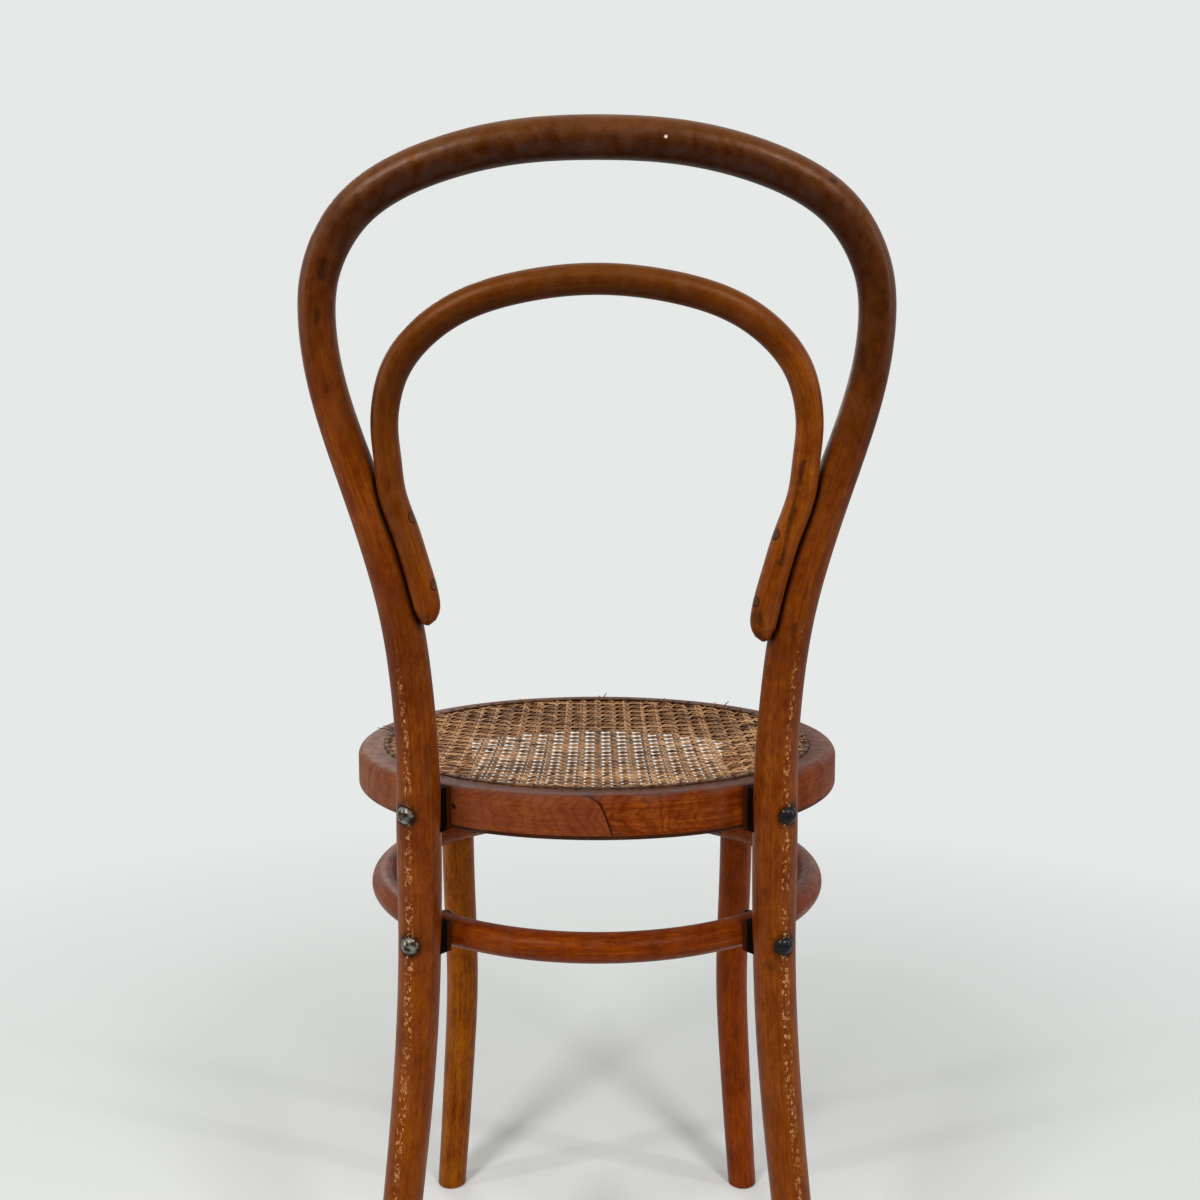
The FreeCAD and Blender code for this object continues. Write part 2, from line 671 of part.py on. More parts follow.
def build():
    """Make every piece of the chair, by node name."""
    pieces = {}
    back_rod = bent_rod(back_stations())
    back_cutter = bent_rod(back_stations(), WOOD_FIT)
    loop_rod = bent_rod(loop_stations(), seam=LOOP_SEAM)
    loop_cuts = loop_screw_cuts(WOOD_FIT)
    bolts = [place(side) for side in SIDES.values() for place in (seat_bolt_at, ring_bolt_at)]

    frame_cuts = [cut for bolt in bolts for cut in bolt_cuts(bolt)[:3]]
    pieces["back_frame"] = level_foot(back_rod).cut(frame_cuts + loop_cuts)
    pieces["inner_loop"] = loop_rod.cut([back_cutter] + loop_cuts)
    places = loop_screw_places()
    pieces["loop_screws"] = Part.makeCompound([loop_screw(place) for place in places])
    pieces["loop_plugs"] = Part.makeCompound([loop_plug(place, loop_rod) for place in places])

    front_cutters = [front_rod(side, WOOD_FIT) for side in SIDES.values()]
    pieces["seat_ring"] = seat_ring()
    pieces["cane_panel"] = cane_panel()
    pieces["cane_binding"] = cane_binding()
    pieces["leg_ring"] = leg_ring(front_cutters)

    for name, side in SIDES.items():
        seat_bolt, ring_bolt = seat_bolt_at(side), ring_bolt_at(side)
        pieces["front_leg_" + name] = front_leg(side)
        pieces["seat_packer_" + name] = packer(
            SEAT_JOINT, SEAT_FLAT_RADIUS, SEAT_RING_DEPTH, SEAT_RING_BASE, seat_bolt, back_cutter, side
        )
        pieces["ring_packer_" + name] = packer(
            RING_JOINT, RING_FLAT_RADIUS, LEG_RING_DIAMETER, LEG_RING_HEIGHT - LEG_RING_DIAMETER / 2,
            ring_bolt, back_cutter, side
        )
        pieces["seat_bolt_" + name] = coach_bolt(seat_bolt)
        pieces["ring_bolt_" + name] = coach_bolt(ring_bolt)
        pieces["bolt_washers_" + name] = Part.makeCompound([washer(seat_bolt), washer(ring_bolt)])
        pieces["bolt_nuts_" + name] = Part.makeCompound([nut(seat_bolt), nut(ring_bolt)])
        pieces["front_screw_" + name] = front_screw(side)
    return pieces


def centred(pieces):
    """Move the whole chair so that the middle of its footprint stands on the origin."""
    box = FreeCAD.BoundBox()
    for shape in pieces.values():
        box.add(shape.optimalBoundingBox(False, False))
    shift = V(-box.Center.x, -box.Center.y, -box.ZMin)
    for shape in pieces.values():
        shape.translate(shift)
    print("moved by", shift)
    return pieces


os.makedirs("parts", exist_ok=True)
for node, shape in centred(build()).items():
    print(node, "solids", len(shape.Solids), "faces", len(shape.Faces),
          "volume", round(shape.Volume, 1), "valid", shape.isValid())
    shape.exportStep("parts/" + node + ".step")
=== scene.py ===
"""Bentwood bistro chair: the dressed model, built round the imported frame.

The frame's axes hold: the chair faces -Y, its back is at +Y, +X is the chair's own left and
+Z is up. Sizes of pieces are written in millimetres and become metres as a piece is built.
The studio's sizes and the places of marks are written in metres.
"""

import logging
import math
from dataclasses import dataclass, field
from enum import Enum
from functools import cached_property
from typing import Any, Callable, Iterable, Iterator, Sequence

import bmesh
import bpy
from mathutils import Matrix, Vector
from mathutils.bvhtree import BVHTree
from mathutils.kdtree import KDTree

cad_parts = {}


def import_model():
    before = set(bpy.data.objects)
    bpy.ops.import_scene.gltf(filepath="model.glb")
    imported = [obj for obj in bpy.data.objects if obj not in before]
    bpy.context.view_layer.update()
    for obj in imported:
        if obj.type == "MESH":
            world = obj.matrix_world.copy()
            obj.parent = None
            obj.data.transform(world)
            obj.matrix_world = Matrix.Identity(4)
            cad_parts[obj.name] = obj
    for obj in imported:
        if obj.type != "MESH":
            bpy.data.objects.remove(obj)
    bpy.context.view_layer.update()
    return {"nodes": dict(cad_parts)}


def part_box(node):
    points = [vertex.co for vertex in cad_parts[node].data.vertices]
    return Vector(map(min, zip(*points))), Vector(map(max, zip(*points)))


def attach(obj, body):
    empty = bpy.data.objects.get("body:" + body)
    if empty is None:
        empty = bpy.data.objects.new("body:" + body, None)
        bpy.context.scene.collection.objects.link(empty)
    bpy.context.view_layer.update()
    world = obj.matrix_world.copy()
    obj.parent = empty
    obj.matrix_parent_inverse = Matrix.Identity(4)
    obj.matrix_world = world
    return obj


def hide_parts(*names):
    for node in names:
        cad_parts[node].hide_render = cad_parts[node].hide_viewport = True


LOG = logging.getLogger("chair")
MM = 0.001
FULL_TURN = 2 * math.pi
# How often a stretch of a course is halved to find a height on it
HALVINGS = 40

GrimeAndShade = Callable[[Vector], float]
Row = tuple[float, float, float, float]


# Courses of rods

class Side(Enum):
    """The chair's own left and right, as the sign of X."""

    LEFT = 1
    RIGHT = -1

    @property
    def word(self) -> str:
        """The side's name as the nodes have it."""
        return self.name.lower()


@dataclass(frozen=True)
class Station:
    """A place on a rod's centre line, with the rod's diameter there, in metres."""

    point: Vector
    diameter: float


def place(x: float, y: float, z: float, axis_y: float) -> Vector:
    """A point in metres.

    Args:
        x: half spread in millimetres.
        y: distance behind the seat's axis in millimetres.
        z: height in millimetres.
        axis_y: where the seat's axis is along Y, in metres.

    Returns:
        The point in the frame's axes.
    """
    return Vector((x * MM, y * MM + axis_y, z * MM))


def level_way(degrees: float, side: Side = Side.LEFT) -> Vector:
    """The level direction that is turned from straight back towards a side of the chair."""
    turn = math.radians(degrees) * side.value
    return Vector((math.sin(turn), math.cos(turn), 0))


def flipped(stations: Iterable[Station]) -> list[Station]:
    """The stations, mirrored to the other side of the chair."""
    return [Station(Vector((-s.point.x, s.point.y, s.point.z)), s.diameter) for s in stations]


class Course:
    """A smooth line through stations: a natural cubic spline of place and diameter."""

    def __init__(self, stations: Sequence[Station]) -> None:
        """Fit the spline.

        Args:
            stations: the stations, in order along the rod.
        """
        self.values = [(*s.point, s.diameter) for s in stations]
        self.knots = [0.0]
        for a, b in zip(stations, stations[1:]):
            self.knots.append(self.knots[-1] + (b.point - a.point).length)
        self.bends = [self._bends(axis) for axis in range(4)]

    def _bends(self, axis: int) -> list[float]:
        """Second derivatives of one coordinate at the knots.

        Args:
            axis: 0 to 2 for the place, 3 for the diameter.

        Returns:
            One value for each knot, zero at both ends.
        """
        t, n = self.knots, len(self.knots)
        y = [v[axis] for v in self.values]
        upper, right = [0.0] * n, [0.0] * n
        for i in range(1, n - 1):
            before, after = t[i] - t[i - 1], t[i + 1] - t[i]
            slope = (y[i + 1] - y[i]) / after - (y[i] - y[i - 1]) / before
            pivot = 2 * (before + after) - before * upper[i - 1]
            upper[i] = after / pivot
            right[i] = (6 * slope - before * right[i - 1]) / pivot
        out = [0.0] * n
        for i in range(n - 2, 0, -1):
            out[i] = right[i] - upper[i] * out[i + 1]
        return out

    def at(self, t: float) -> Station:
        """The station at a distance along the chords.

        Args:
            t: the distance in metres.

        Returns:
            The station.
        """
        i = max(0, min(len(self.knots) - 2, sum(k <= t for k in self.knots) - 1))
        low, high = self.knots[i], self.knots[i + 1]
        step = high - low
        a, b = (high - t) / step, (t - low) / step
        out = []
        for axis in range(4):
            m0, m1 = self.bends[axis][i], self.bends[axis][i + 1]
            line = a * self.values[i][axis] + b * self.values[i + 1][axis]
            out.append(line + ((a ** 3 - a) * m0 + (b ** 3 - b) * m1) * step * step / 6)
        return Station(Vector(out[:3]), out[3])

    def at_height(self, height: float) -> Station:
        """The station at a height, on a course that only rises.

        Args:
            height: the height in metres.

        Returns:
            The station.
        """
        low, high = 0.0, self.knots[-1]
        for _ in range(HALVINGS):
            middle = (low + high) / 2
            if self.at(middle).point.z < height:
                low = middle
            else:
                high = middle
        return self.at(low)

    def sampled(self, step: float) -> list[Station]:
        """Stations at even steps from end to end."""
        count = max(2, round(self.knots[-1] / step))
        return [self.at(self.knots[-1] * i / count) for i in range(count + 1)]


# Node trees

def linear(code: str) -> tuple[float, float, float, float]:
    """An sRGB hex colour as linear light.

    Args:
        code: the colour, as a hash sign and six digits.

    Returns:
        Red, green and blue as linear light, and 1.
    """
    parts = [int(code[i:i + 2], 16) / 255 for i in (1, 3, 5)]
    light = [c / 12.92 if c <= 0.04045 else ((c + 0.055) / 1.055) ** 2.4 for c in parts]
    return (*light, 1.0)


def connect(tree: Any, node: Any, values: dict) -> None:
    """Set or link a node's inputs.

    Args:
        tree: the node tree.
        node: the node.
        values: values or wires for its inputs, by name or index.
    """
    for key, value in values.items():
        if isinstance(value, Wire):
            tree.links.new(value.socket, node.inputs[key])
        else:
            node.inputs[key].default_value = value


def add(tree: Any, kind: str, inputs: dict | None = None, output: int | str = 0, **settings: Any) -> Any:
    """Add a node with its settings and links.

    Args:
        tree: the node tree.
        kind: the node's type name.
        inputs: values or wires for its inputs, by name or index.
        output: the output that is wanted, by name or index.
        settings: the node's own properties.

    Returns:
        The wire from that output, or None if the node has no outputs.
    """
    node = tree.nodes.new(kind)
    for name, value in settings.items():
        setattr(node, name, value)
    connect(tree, node, inputs or {})
    return Wire(tree, node.outputs[output]) if node.outputs else None


@dataclass(frozen=True)
class Wire:
    """A node's output, which can be reckoned with as a number or a vector can."""

    tree: Any
    socket: Any

    def reckon(self, operation: str, *others: Any, clamp: bool = False) -> "Wire":
        """Work something out from this value and others, kept between 0 and 1 if clamped."""
        values = dict(enumerate((self, *others)))
        return add(self.tree, "ShaderNodeMath", values, operation=operation, use_clamp=clamp)

    def __add__(self, other: Any) -> "Wire":
        """This value and another."""
        return self.reckon("ADD", other)

    def __sub__(self, other: Any) -> "Wire":
        """This value less another."""
        return self.reckon("SUBTRACT", other)

    def __mul__(self, other: Any) -> "Wire":
        """This value times another."""
        return self.reckon("MULTIPLY", other)

    def __truediv__(self, other: Any) -> "Wire":
        """This value divided by another."""
        return self.reckon("DIVIDE", other)

    def __abs__(self) -> "Wire":
        """This value without its sign."""
        return self.reckon("ABSOLUTE")

    def square(self) -> "Wire":
        """This value times itself."""
        return self.reckon("POWER", 2.0)

    def vector(self, operation: str, *others: Any, output: str = "Vector") -> "Wire":
        """Work something out from this vector and others."""
        values = dict(enumerate((self, *others)))
        return add(self.tree, "ShaderNodeVectorMath", values, output, operation=operation)

    def parts(self) -> list["Wire"]:
        """The three parts of a vector."""
        node = add(self.tree, "ShaderNodeSeparateXYZ", {0: self}).socket.node
        return [Wire(self.tree, part) for part in node.outputs]

    def length(self) -> "Wire":
        """A vector's length."""
        return self.vector("LENGTH", output="Value")

    def between(self, low: float, high: float, start: Any = 0.0, stop: Any = 1.0) -> "Wire":
        """A number from start to stop, as this value goes from low to high, and no further."""
        return add(self.tree, "ShaderNodeMapRange",
                   {"Value": self, "From Min": low, "From Max": high, "To Min": start, "To Max": stop})

    def mix(self, first: Any, second: Any) -> "Wire":
        """The first colour, turning into the second as this value goes from 0 to 1."""
        ends = [linear(c) if isinstance(c, str) else c for c in (first, second)]
        return add(self.tree, "ShaderNodeMix", {0: self, 6: ends[0], 7: ends[1]}, 2, data_type="RGBA")

    def ramp(self, *stops: tuple[float, str]) -> "Wire":
        """Colours along this value.

        Args:
            stops: each colour's position and hex colour.

        Returns:
            The colour.
        """
        colour = add(self.tree, "ShaderNodeValToRGB", {0: self}, "Color")
        elements = colour.socket.node.color_ramp.elements
        while len(elements) < len(stops):
            elements.new(0.5)
        for element, (position, code) in zip(elements, stops):
            element.position = position
            element.color = linear(code)
        return colour

    def mapped(self, size: Sequence[float], offset: float = 0.0) -> "Wire":
        """This place, counted in features of a pattern.

        Args:
            size: the features' size along the three axes, in mm.
            offset: shifts the pattern, to make another one.

        Returns:
            The place in the pattern.
        """
        scale = [1 / (s * MM) for s in size]
        inputs = {"Vector": self, "Scale": scale, "Location": (offset,) * 3}
        return add(self.tree, "ShaderNodeMapping", inputs)

    def noise(self, size: Sequence[float], detail: float = 2.0, offset: float = 0.0) -> "Wire":
        """Noise at this place.

        Args:
            size: the features' size along the three axes, in mm.
            detail: the noise's octaves.
            offset: shifts the pattern, to make another one.

        Returns:
            A value that is about 0.5 on average.
        """
        inputs = {"Vector": self.mapped(size, offset), "Scale": 1.0, "Detail": detail}
        return add(self.tree, "ShaderNodeTexNoise", inputs)

    def cells(self, size: Sequence[float]) -> "Wire":
        """How far this place is from the middle of its cell, in cells of a size in mm."""
        inputs = {"Vector": self.mapped(size), "Scale": 1.0}
        return add(self.tree, "ShaderNodeTexVoronoi", inputs, "Distance")


def combined(tree: Any, x: Any = 0.0, y: Any = 0.0, z: Any = 0.0) -> Wire:
    """A vector from its three parts."""
    return add(tree, "ShaderNodeCombineXYZ", {0: x, 1: y, 2: z})


def new_tree(name: str, inputs: dict[str, tuple[str, Any]]) -> tuple[Any, dict[str, Wire]]:
    """A geometry tree with named inputs.

    Args:
        name: the tree's name.
        inputs: each input's socket type and default, by name.

    Returns:
        The tree, and the wires from its inputs by name.
    """
    tree = bpy.data.node_groups.new(name, "GeometryNodeTree")
    face = tree.interface
    face.new_socket("Geometry", in_out="INPUT", socket_type="NodeSocketGeometry")
    face.new_socket("Geometry", in_out="OUTPUT", socket_type="NodeSocketGeometry")
    for label, (kind, default) in inputs.items():
        socket = face.new_socket(label, in_out="INPUT", socket_type="NodeSocket" + kind)
        if default is not None:
            socket.default_value = default
    given = add(tree, "NodeGroupInput").socket.node
    return tree, {socket.name: Wire(tree, socket) for socket in given.outputs}


def close_tree(tree: Any, geometry: Wire, material: Wire) -> None:
    """End a geometry tree in Realize Instances and Set Material.

    Args:
        tree: the geometry tree.
        geometry: what the tree has made.
        material: the material that it takes.
    """
    real = add(tree, "GeometryNodeRealizeInstances", {0: geometry})
    dressed = add(tree, "GeometryNodeSetMaterial", {0: real, "Material": material})
    add(tree, "NodeGroupOutput", {0: dressed})


def capture(geometry: Wire, value: Wire, kind: str) -> tuple[Wire, Wire]:
    """Keep a value on the points of a geometry.

    Args:
        geometry: the geometry.
        value: the value.
        kind: FLOAT or VECTOR.

    Returns:
        The geometry and the kept value.
    """
    tree = geometry.tree
    node = tree.nodes.new("GeometryNodeCaptureAttribute")
    node.domain = "POINT"
    node.capture_items.new(kind, "kept")
    connect(tree, node, {0: geometry, 1: value})
    return Wire(tree, node.outputs[0]), Wire(tree, node.outputs[1])


def sweep(curve: Wire, section: Wire, size: Any = 1.0) -> Wire:
    """Sweep a section along curves and store where each point was in the straight stick.

    The stored vector is what wood grain and cane fibre follow: across, across and along.

    Args:
        curve: the curves.
        section: the section.
        size: the section's scale along the curves.

    Returns:
        The mesh.
    """
    tree = curve.tree
    length = add(tree, "GeometryNodeSplineParameter", output="Length")
    curve, length = capture(curve, length, "FLOAT")
    curve, scale = capture(curve, add(tree, "ShaderNodeMath", {0: size, 1: 0.0}), "FLOAT")
    section, spot = capture(section, add(tree, "GeometryNodeInputPosition"), "VECTOR")
    swept = add(tree, "GeometryNodeCurveToMesh",
                {"Curve": curve, "Profile Curve": section, "Scale": scale, "Fill Caps": True})
    x, y, _ = add(tree, "ShaderNodeVectorMath", {0: spot, 3: scale}, operation="SCALE").parts()
    stored = add(tree, "GeometryNodeStoreNamedAttribute",
                 {"Geometry": swept, "Name": "grain", "Value": combined(tree, x, y, length)},
                 data_type="FLOAT_VECTOR", domain="POINT")
    return add(tree, "GeometryNodeSetShadeSmooth", {0: stored})


def circle(tree: Any, corners: Any, radius: Any) -> Wire:
    """A round curve with a number of corners."""
    return add(tree, "GeometryNodeCurvePrimitiveCircle", {"Resolution": corners, "Radius": radius})


def oval(tree: Any, corners: int, width: Any, thickness: Any) -> Wire:
    """A strand's section, as wide and thick as given."""
    scale = combined(tree, width, thickness, 1.0)
    return add(tree, "GeometryNodeTransform", {"Geometry": circle(tree, corners, 0.5), "Scale": scale})


def rod_tree() -> Any:
    """The tree of a round rod along the maker's curve, with the radius that its points have.

    Returns:
        The tree, with inputs for its sides and material.
    """
    tree, given = new_tree("Bent rod", {"Sides": ("Int", 40), "Material": ("Material", None)})
    radius = add(tree, "GeometryNodeInputRadius")
    rod = sweep(given["Geometry"], circle(tree, given["Sides"], 1.0), radius)
    close_tree(tree, rod, given["Material"])
    return tree


def modifier_result(maker: bpy.types.Object, tree: Any, name: str,
                    values: dict[str, Any]) -> bpy.types.Object:
    """Run a geometry tree on an object and keep its result as a plain mesh.

    Args:
        maker: the object that carries the tree's starting geometry; it is removed.
        tree: the geometry tree.
        name: the new piece's name.
        values: the tree's inputs, by their names.

    Returns:
        The new mesh object, linked to the scene.
    """
    modifier = maker.modifiers.new(name, "NODES")
    modifier.node_group = tree
    for item in tree.interface.items_tree:
        if item.item_type == "SOCKET" and item.in_out == "INPUT" and item.name in values:
            modifier[item.identifier] = values[item.name]
    bpy.context.scene.collection.objects.link(maker)
    graph = bpy.context.evaluated_depsgraph_get()
    graph.update()
    mesh = bpy.data.meshes.new_from_object(maker.evaluated_get(graph), depsgraph=graph)
    maker.modifiers.remove(modifier)
    bpy.data.objects.remove(maker)
    mesh.name = name
    return linked(name, mesh)


def linked(name: str, data: Any) -> bpy.types.Object:
    """Add an object to the scene.

    Args:
        name: the object's name.
        data: its mesh, lamp or camera.

    Returns:
        The object.
    """
    thing = bpy.data.objects.new(name, data)
    bpy.context.scene.collection.objects.link(thing)
    return thing


def empty_maker() -> bpy.types.Object:
    """An unlinked object with no geometry of its own, for a tree that starts from nothing."""
    return bpy.data.objects.new("maker", bpy.data.meshes.new("maker"))


def curve_maker(lines: Sequence[Sequence[Station]]) -> bpy.types.Object:
    """Make an unlinked curve object with straight runs between stations.

    Args:
        lines: the stations of each line.

    Returns:
        The curve object, whose points have the rods' radius.
    """
    data = bpy.data.curves.new("maker", "CURVE")
    data.dimensions = "3D"
    for line in lines:
        spline = data.splines.new("POLY")
        spline.points.add(len(line) - 1)
        for point, station in zip(spline.points, line):
            point.co = (*station.point, 1.0)
            point.radius = station.diameter / 2
    return bpy.data.objects.new("maker", data)


# Meshes

def mesh_piece(name: str, bm: bmesh.types.BMesh, material: bpy.types.Material) -> bpy.types.Object:
    """Turn a bmesh into a smooth piece with one material.

    Args:
        name: the piece's name.
        bm: the bmesh; it is freed.
        material: the material.

    Returns:
        The piece.
    """
    bmesh.ops.recalc_face_normals(bm, faces=bm.faces)
    mesh = bpy.data.meshes.new(name)
    bm.to_mesh(mesh)
    bm.free()
    mesh.materials.append(material)
    mesh.shade_smooth()
    return linked(name, mesh)


def keep_creases(piece: bpy.types.Object, degrees: float) -> None:
    """Smooth a piece, apart from edges sharper than an angle."""
    piece.data.shade_smooth()
    piece.data.set_sharp_from_angle(angle=math.radians(degrees))


def settle(piece: bpy.types.Object, slot: str, *nodes: str) -> bpy.types.Object:
    """Ride a finished piece on the chair and hide the frame's nodes that it replaces.

    Args:
        piece: the piece.
        slot: not used.
        nodes: the frame's nodes that it replaces.

    Returns:
        The piece.
    """
    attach(piece, "root")
    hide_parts(*nodes)
    return piece


def skin(bm: bmesh.types.BMesh, rings: Sequence[Sequence[Any]]) -> None:
    """Join rings of corners with faces, each ring closed on itself.

    Args:
        bm: the bmesh that the corners are in.
        rings: the rings, in order.
    """
    for a, b in zip(rings, rings[1:]):
        for i in range(len(a)):
            j = (i + 1) % len(a)
            bm.faces.new((a[i], a[j], b[j], b[i]))


def around(count: int) -> list[tuple[float, float]]:
    """Cosine and sine of each of a number of even steps of a full turn."""
    turns = [FULL_TURN * step / count for step in range(count)]
    return [(math.cos(turn), math.sin(turn)) for turn in turns]


def level_feet(piece: bpy.types.Object, bevel: float) -> None:
    """Cut a rod off at the floor, close it and take the sharp edge off.

    Args:
        piece: a rod that runs through the floor.
        bevel: the width of the bevel round the foot.
    """
    bm = bmesh.new()
    bm.from_mesh(piece.data)
    geometry = bm.verts[:] + bm.edges[:] + bm.faces[:]
    bmesh.ops.bisect_plane(bm, geom=geometry, plane_co=(0, 0, 0), plane_no=(0, 0, 1), clear_inner=True)
    rim = [edge for edge in bm.edges if edge.is_boundary]
    soles = bmesh.ops.holes_fill(bm, edges=rim)["faces"]
    edges = [edge for face in soles for edge in face.edges]
    bmesh.ops.bevel(bm, geom=edges, offset=bevel, segments=2, profile=0.5, affect="EDGES")
    bmesh.ops.recalc_face_normals(bm, faces=bm.faces)
    bm.to_mesh(piece.data)
    bm.free()


def revolved(profile: Sequence[tuple[float, float]], axis_y: float, steps: int) -> bmesh.types.BMesh:
    """A closed section swept round the seat's axis.

    Args:
        profile: radius and height of each corner of the section, in order round it.
        axis_y: where the seat's axis is along Y.
        steps: how many sections there are in the round.

    Returns:
        The ring, with two stored values: grain and round, the distance round the section.
    """
    bm = bmesh.new()
    grain = bm.verts.layers.float_vector.new("grain")
    rounds = bm.verts.layers.float.new("round")
    middle = sum(r for r, _ in profile) / len(profile)
    path = [0.0]
    for (r0, z0), (r1, z1) in zip(profile, profile[1:]):
        path.append(path[-1] + math.hypot(r1 - r0, z1 - z0))
    rings = []
    for step in range(steps):
        turn = FULL_TURN * step / steps
        along = (turn - FULL_TURN if turn > math.pi else turn) * middle
        ring = []
        for (radius, height), way in zip(profile, path):
            vert = bm.verts.new((radius * math.sin(turn), radius * math.cos(turn) + axis_y, height))
            vert[grain] = (radius - middle, height, along)
            vert[rounds] = way
            ring.append(vert)
        rings.append(ring)
    skin(bm, rings + rings[:1])
    return bm


def fillet(centre: tuple[float, float], radius: float, start: float, end: float,
           steps: int) -> list[tuple[float, float]]:
    """Points of an arc of a section, by its centre, radius and two angles in degrees."""
    turns = [math.radians(start + (end - start) * step / steps) for step in range(steps + 1)]
    return [(centre[0] + radius * math.cos(turn), centre[1] + radius * math.sin(turn)) for turn in turns]


# Dirt and painted shade

def store_grime_and_shade(piece: bpy.types.Object, *sources: GrimeAndShade) -> None:
    """Store how much dirt and painted shade darken each corner of a piece.

    Args:
        piece: the piece.
        sources: each gives its darkening at a point, from 0 to 1, and the most of them counts.
    """
    layer = piece.data.attributes.new("grime_and_shade", "FLOAT", "POINT")
    layer.data.foreach_set("value", [max(depth(v.co) for depth in sources) for v in piece.data.vertices])


def round_places(centres: Sequence[Vector], full: float, none: float) -> GrimeAndShade:
    """Dirt and painted shade round some places.

    Args:
        centres: the places.
        full: the distance in mm up to which the darkening is full.
        none: the distance in mm at which it ends.

    Returns:
        The darkening at a point.
    """
    def depth(point: Vector) -> float:
        """The most darkening that any of the places leaves at a point."""
        nearest = min((point - centre).length for centre in centres) / MM
        return max(0.0, min(1.0, (none - nearest) / (none - full)))
    return depth


def surface_tree(piece: bpy.types.Object) -> BVHTree:
    """A piece's faces, sorted so that the nearest is found fast."""
    mesh = piece.data
    return BVHTree.FromPolygons([v.co for v in mesh.vertices], [p.vertices for p in mesh.polygons])


def beside(other: bpy.types.Object, full: float, none: float) -> GrimeAndShade:
    """Painted shade close to another piece, in the crevice where the two meet.

    Args:
        other: the other piece.
        full: the distance in mm up to which the painted shade is full.
        none: the distance in mm at which it ends.

    Returns:
        The painted shade at a point.
    """
    tree = surface_tree(other)

    def depth(point: Vector) -> float:
        """The painted shade at a point."""
        distance = tree.find_nearest(point, none * MM)[3]
        return 0.0 if distance is None else min(1.0, (none - distance / MM) / (none - full))
    return depth


# Finishes

class Surface:
    """A new material, with the coordinates that its patterns are read from."""

    def __init__(self, name: str) -> None:
        """Start a material.

        Args:
            name: the material's name.
        """
        self.material = bpy.data.materials.new(name)
        self.material.use_nodes = True
        self.tree = self.material.node_tree
        self.shader = self.tree.nodes["Principled BSDF"]

    @cached_property
    def place(self) -> Wire:
        """Where a point is in the piece's own axes, in metres."""
        return add(self.tree, "ShaderNodeTexCoord", output="Object")

    @cached_property
    def normal(self) -> Wire:
        """Which way the surface faces."""
        return add(self.tree, "ShaderNodeTexCoord", output="Normal")

    @cached_property
    def stick(self) -> Wire:
        """Where a point was in the straight stick or strand: across, across and along."""
        return self.stored("grain", "Vector")

    def stored(self, name: str, output: str = "Fac") -> Wire:
        """A value that the mesh stores on its corners."""
        return add(self.tree, "ShaderNodeAttribute", output=output, attribute_name=name)

    def give(self, values: dict[str, Any]) -> None:
        """Set or link the shader's inputs, by name."""
        connect(self.tree, self.shader, values)

    def emboss(self, height: Wire, strength: float, depth: float, *inputs: str) -> None:
        """Shade the surface as if a height stood out of it.

        Args:
            height: the height.
            strength: how much of it shows, from 0 to 1.
            depth: what a height of 1 stands for, in mm.
            inputs: the shader's inputs that take it.
        """
        values = {"Height": height, "Strength": strength, "Distance": depth * MM}
        bump = add(self.tree, "ShaderNodeBump", values)
        self.give({name: bump for name in inputs or ("Normal",)})


@dataclass(frozen=True)
class Mark:
    """A small mark in a finish, round or drawn out: a chip, a burn, a hole or a stained spot, in metres."""

    spot: tuple[float, float, float]
    radius: float
    colour: str
    share: float = 1.0
    end: tuple[float, float, float] | None = None
    depth_counts: float = 0.25

    def reach(self, where: Wire) -> Wire:
        """How far a place is from the mark's line, with depth counted for less.

        Args:
            where: the place.

        Returns:
            The distance in metres.
        """
        # A mark without an end is a streak a thousandth of a millimetre long.
        flatten = Vector((1.0, self.depth_counts, 1.0))
        start = Vector(self.spot) * flatten
        run = (Vector(self.end) - Vector(self.spot)) * flatten if self.end else Vector((1e-6, 0.0, 0.0))
        off = where.vector("MULTIPLY", flatten).vector("SUBTRACT", start)
        along = off.vector("DOT_PRODUCT", run / run.length_squared, output="Value")
        along = along.reckon("ADD", 0.0, clamp=True)
        near = add(where.tree, "ShaderNodeVectorMath", {0: run, 3: along}, operation="SCALE")
        return off.vector("DISTANCE", near, output="Value")


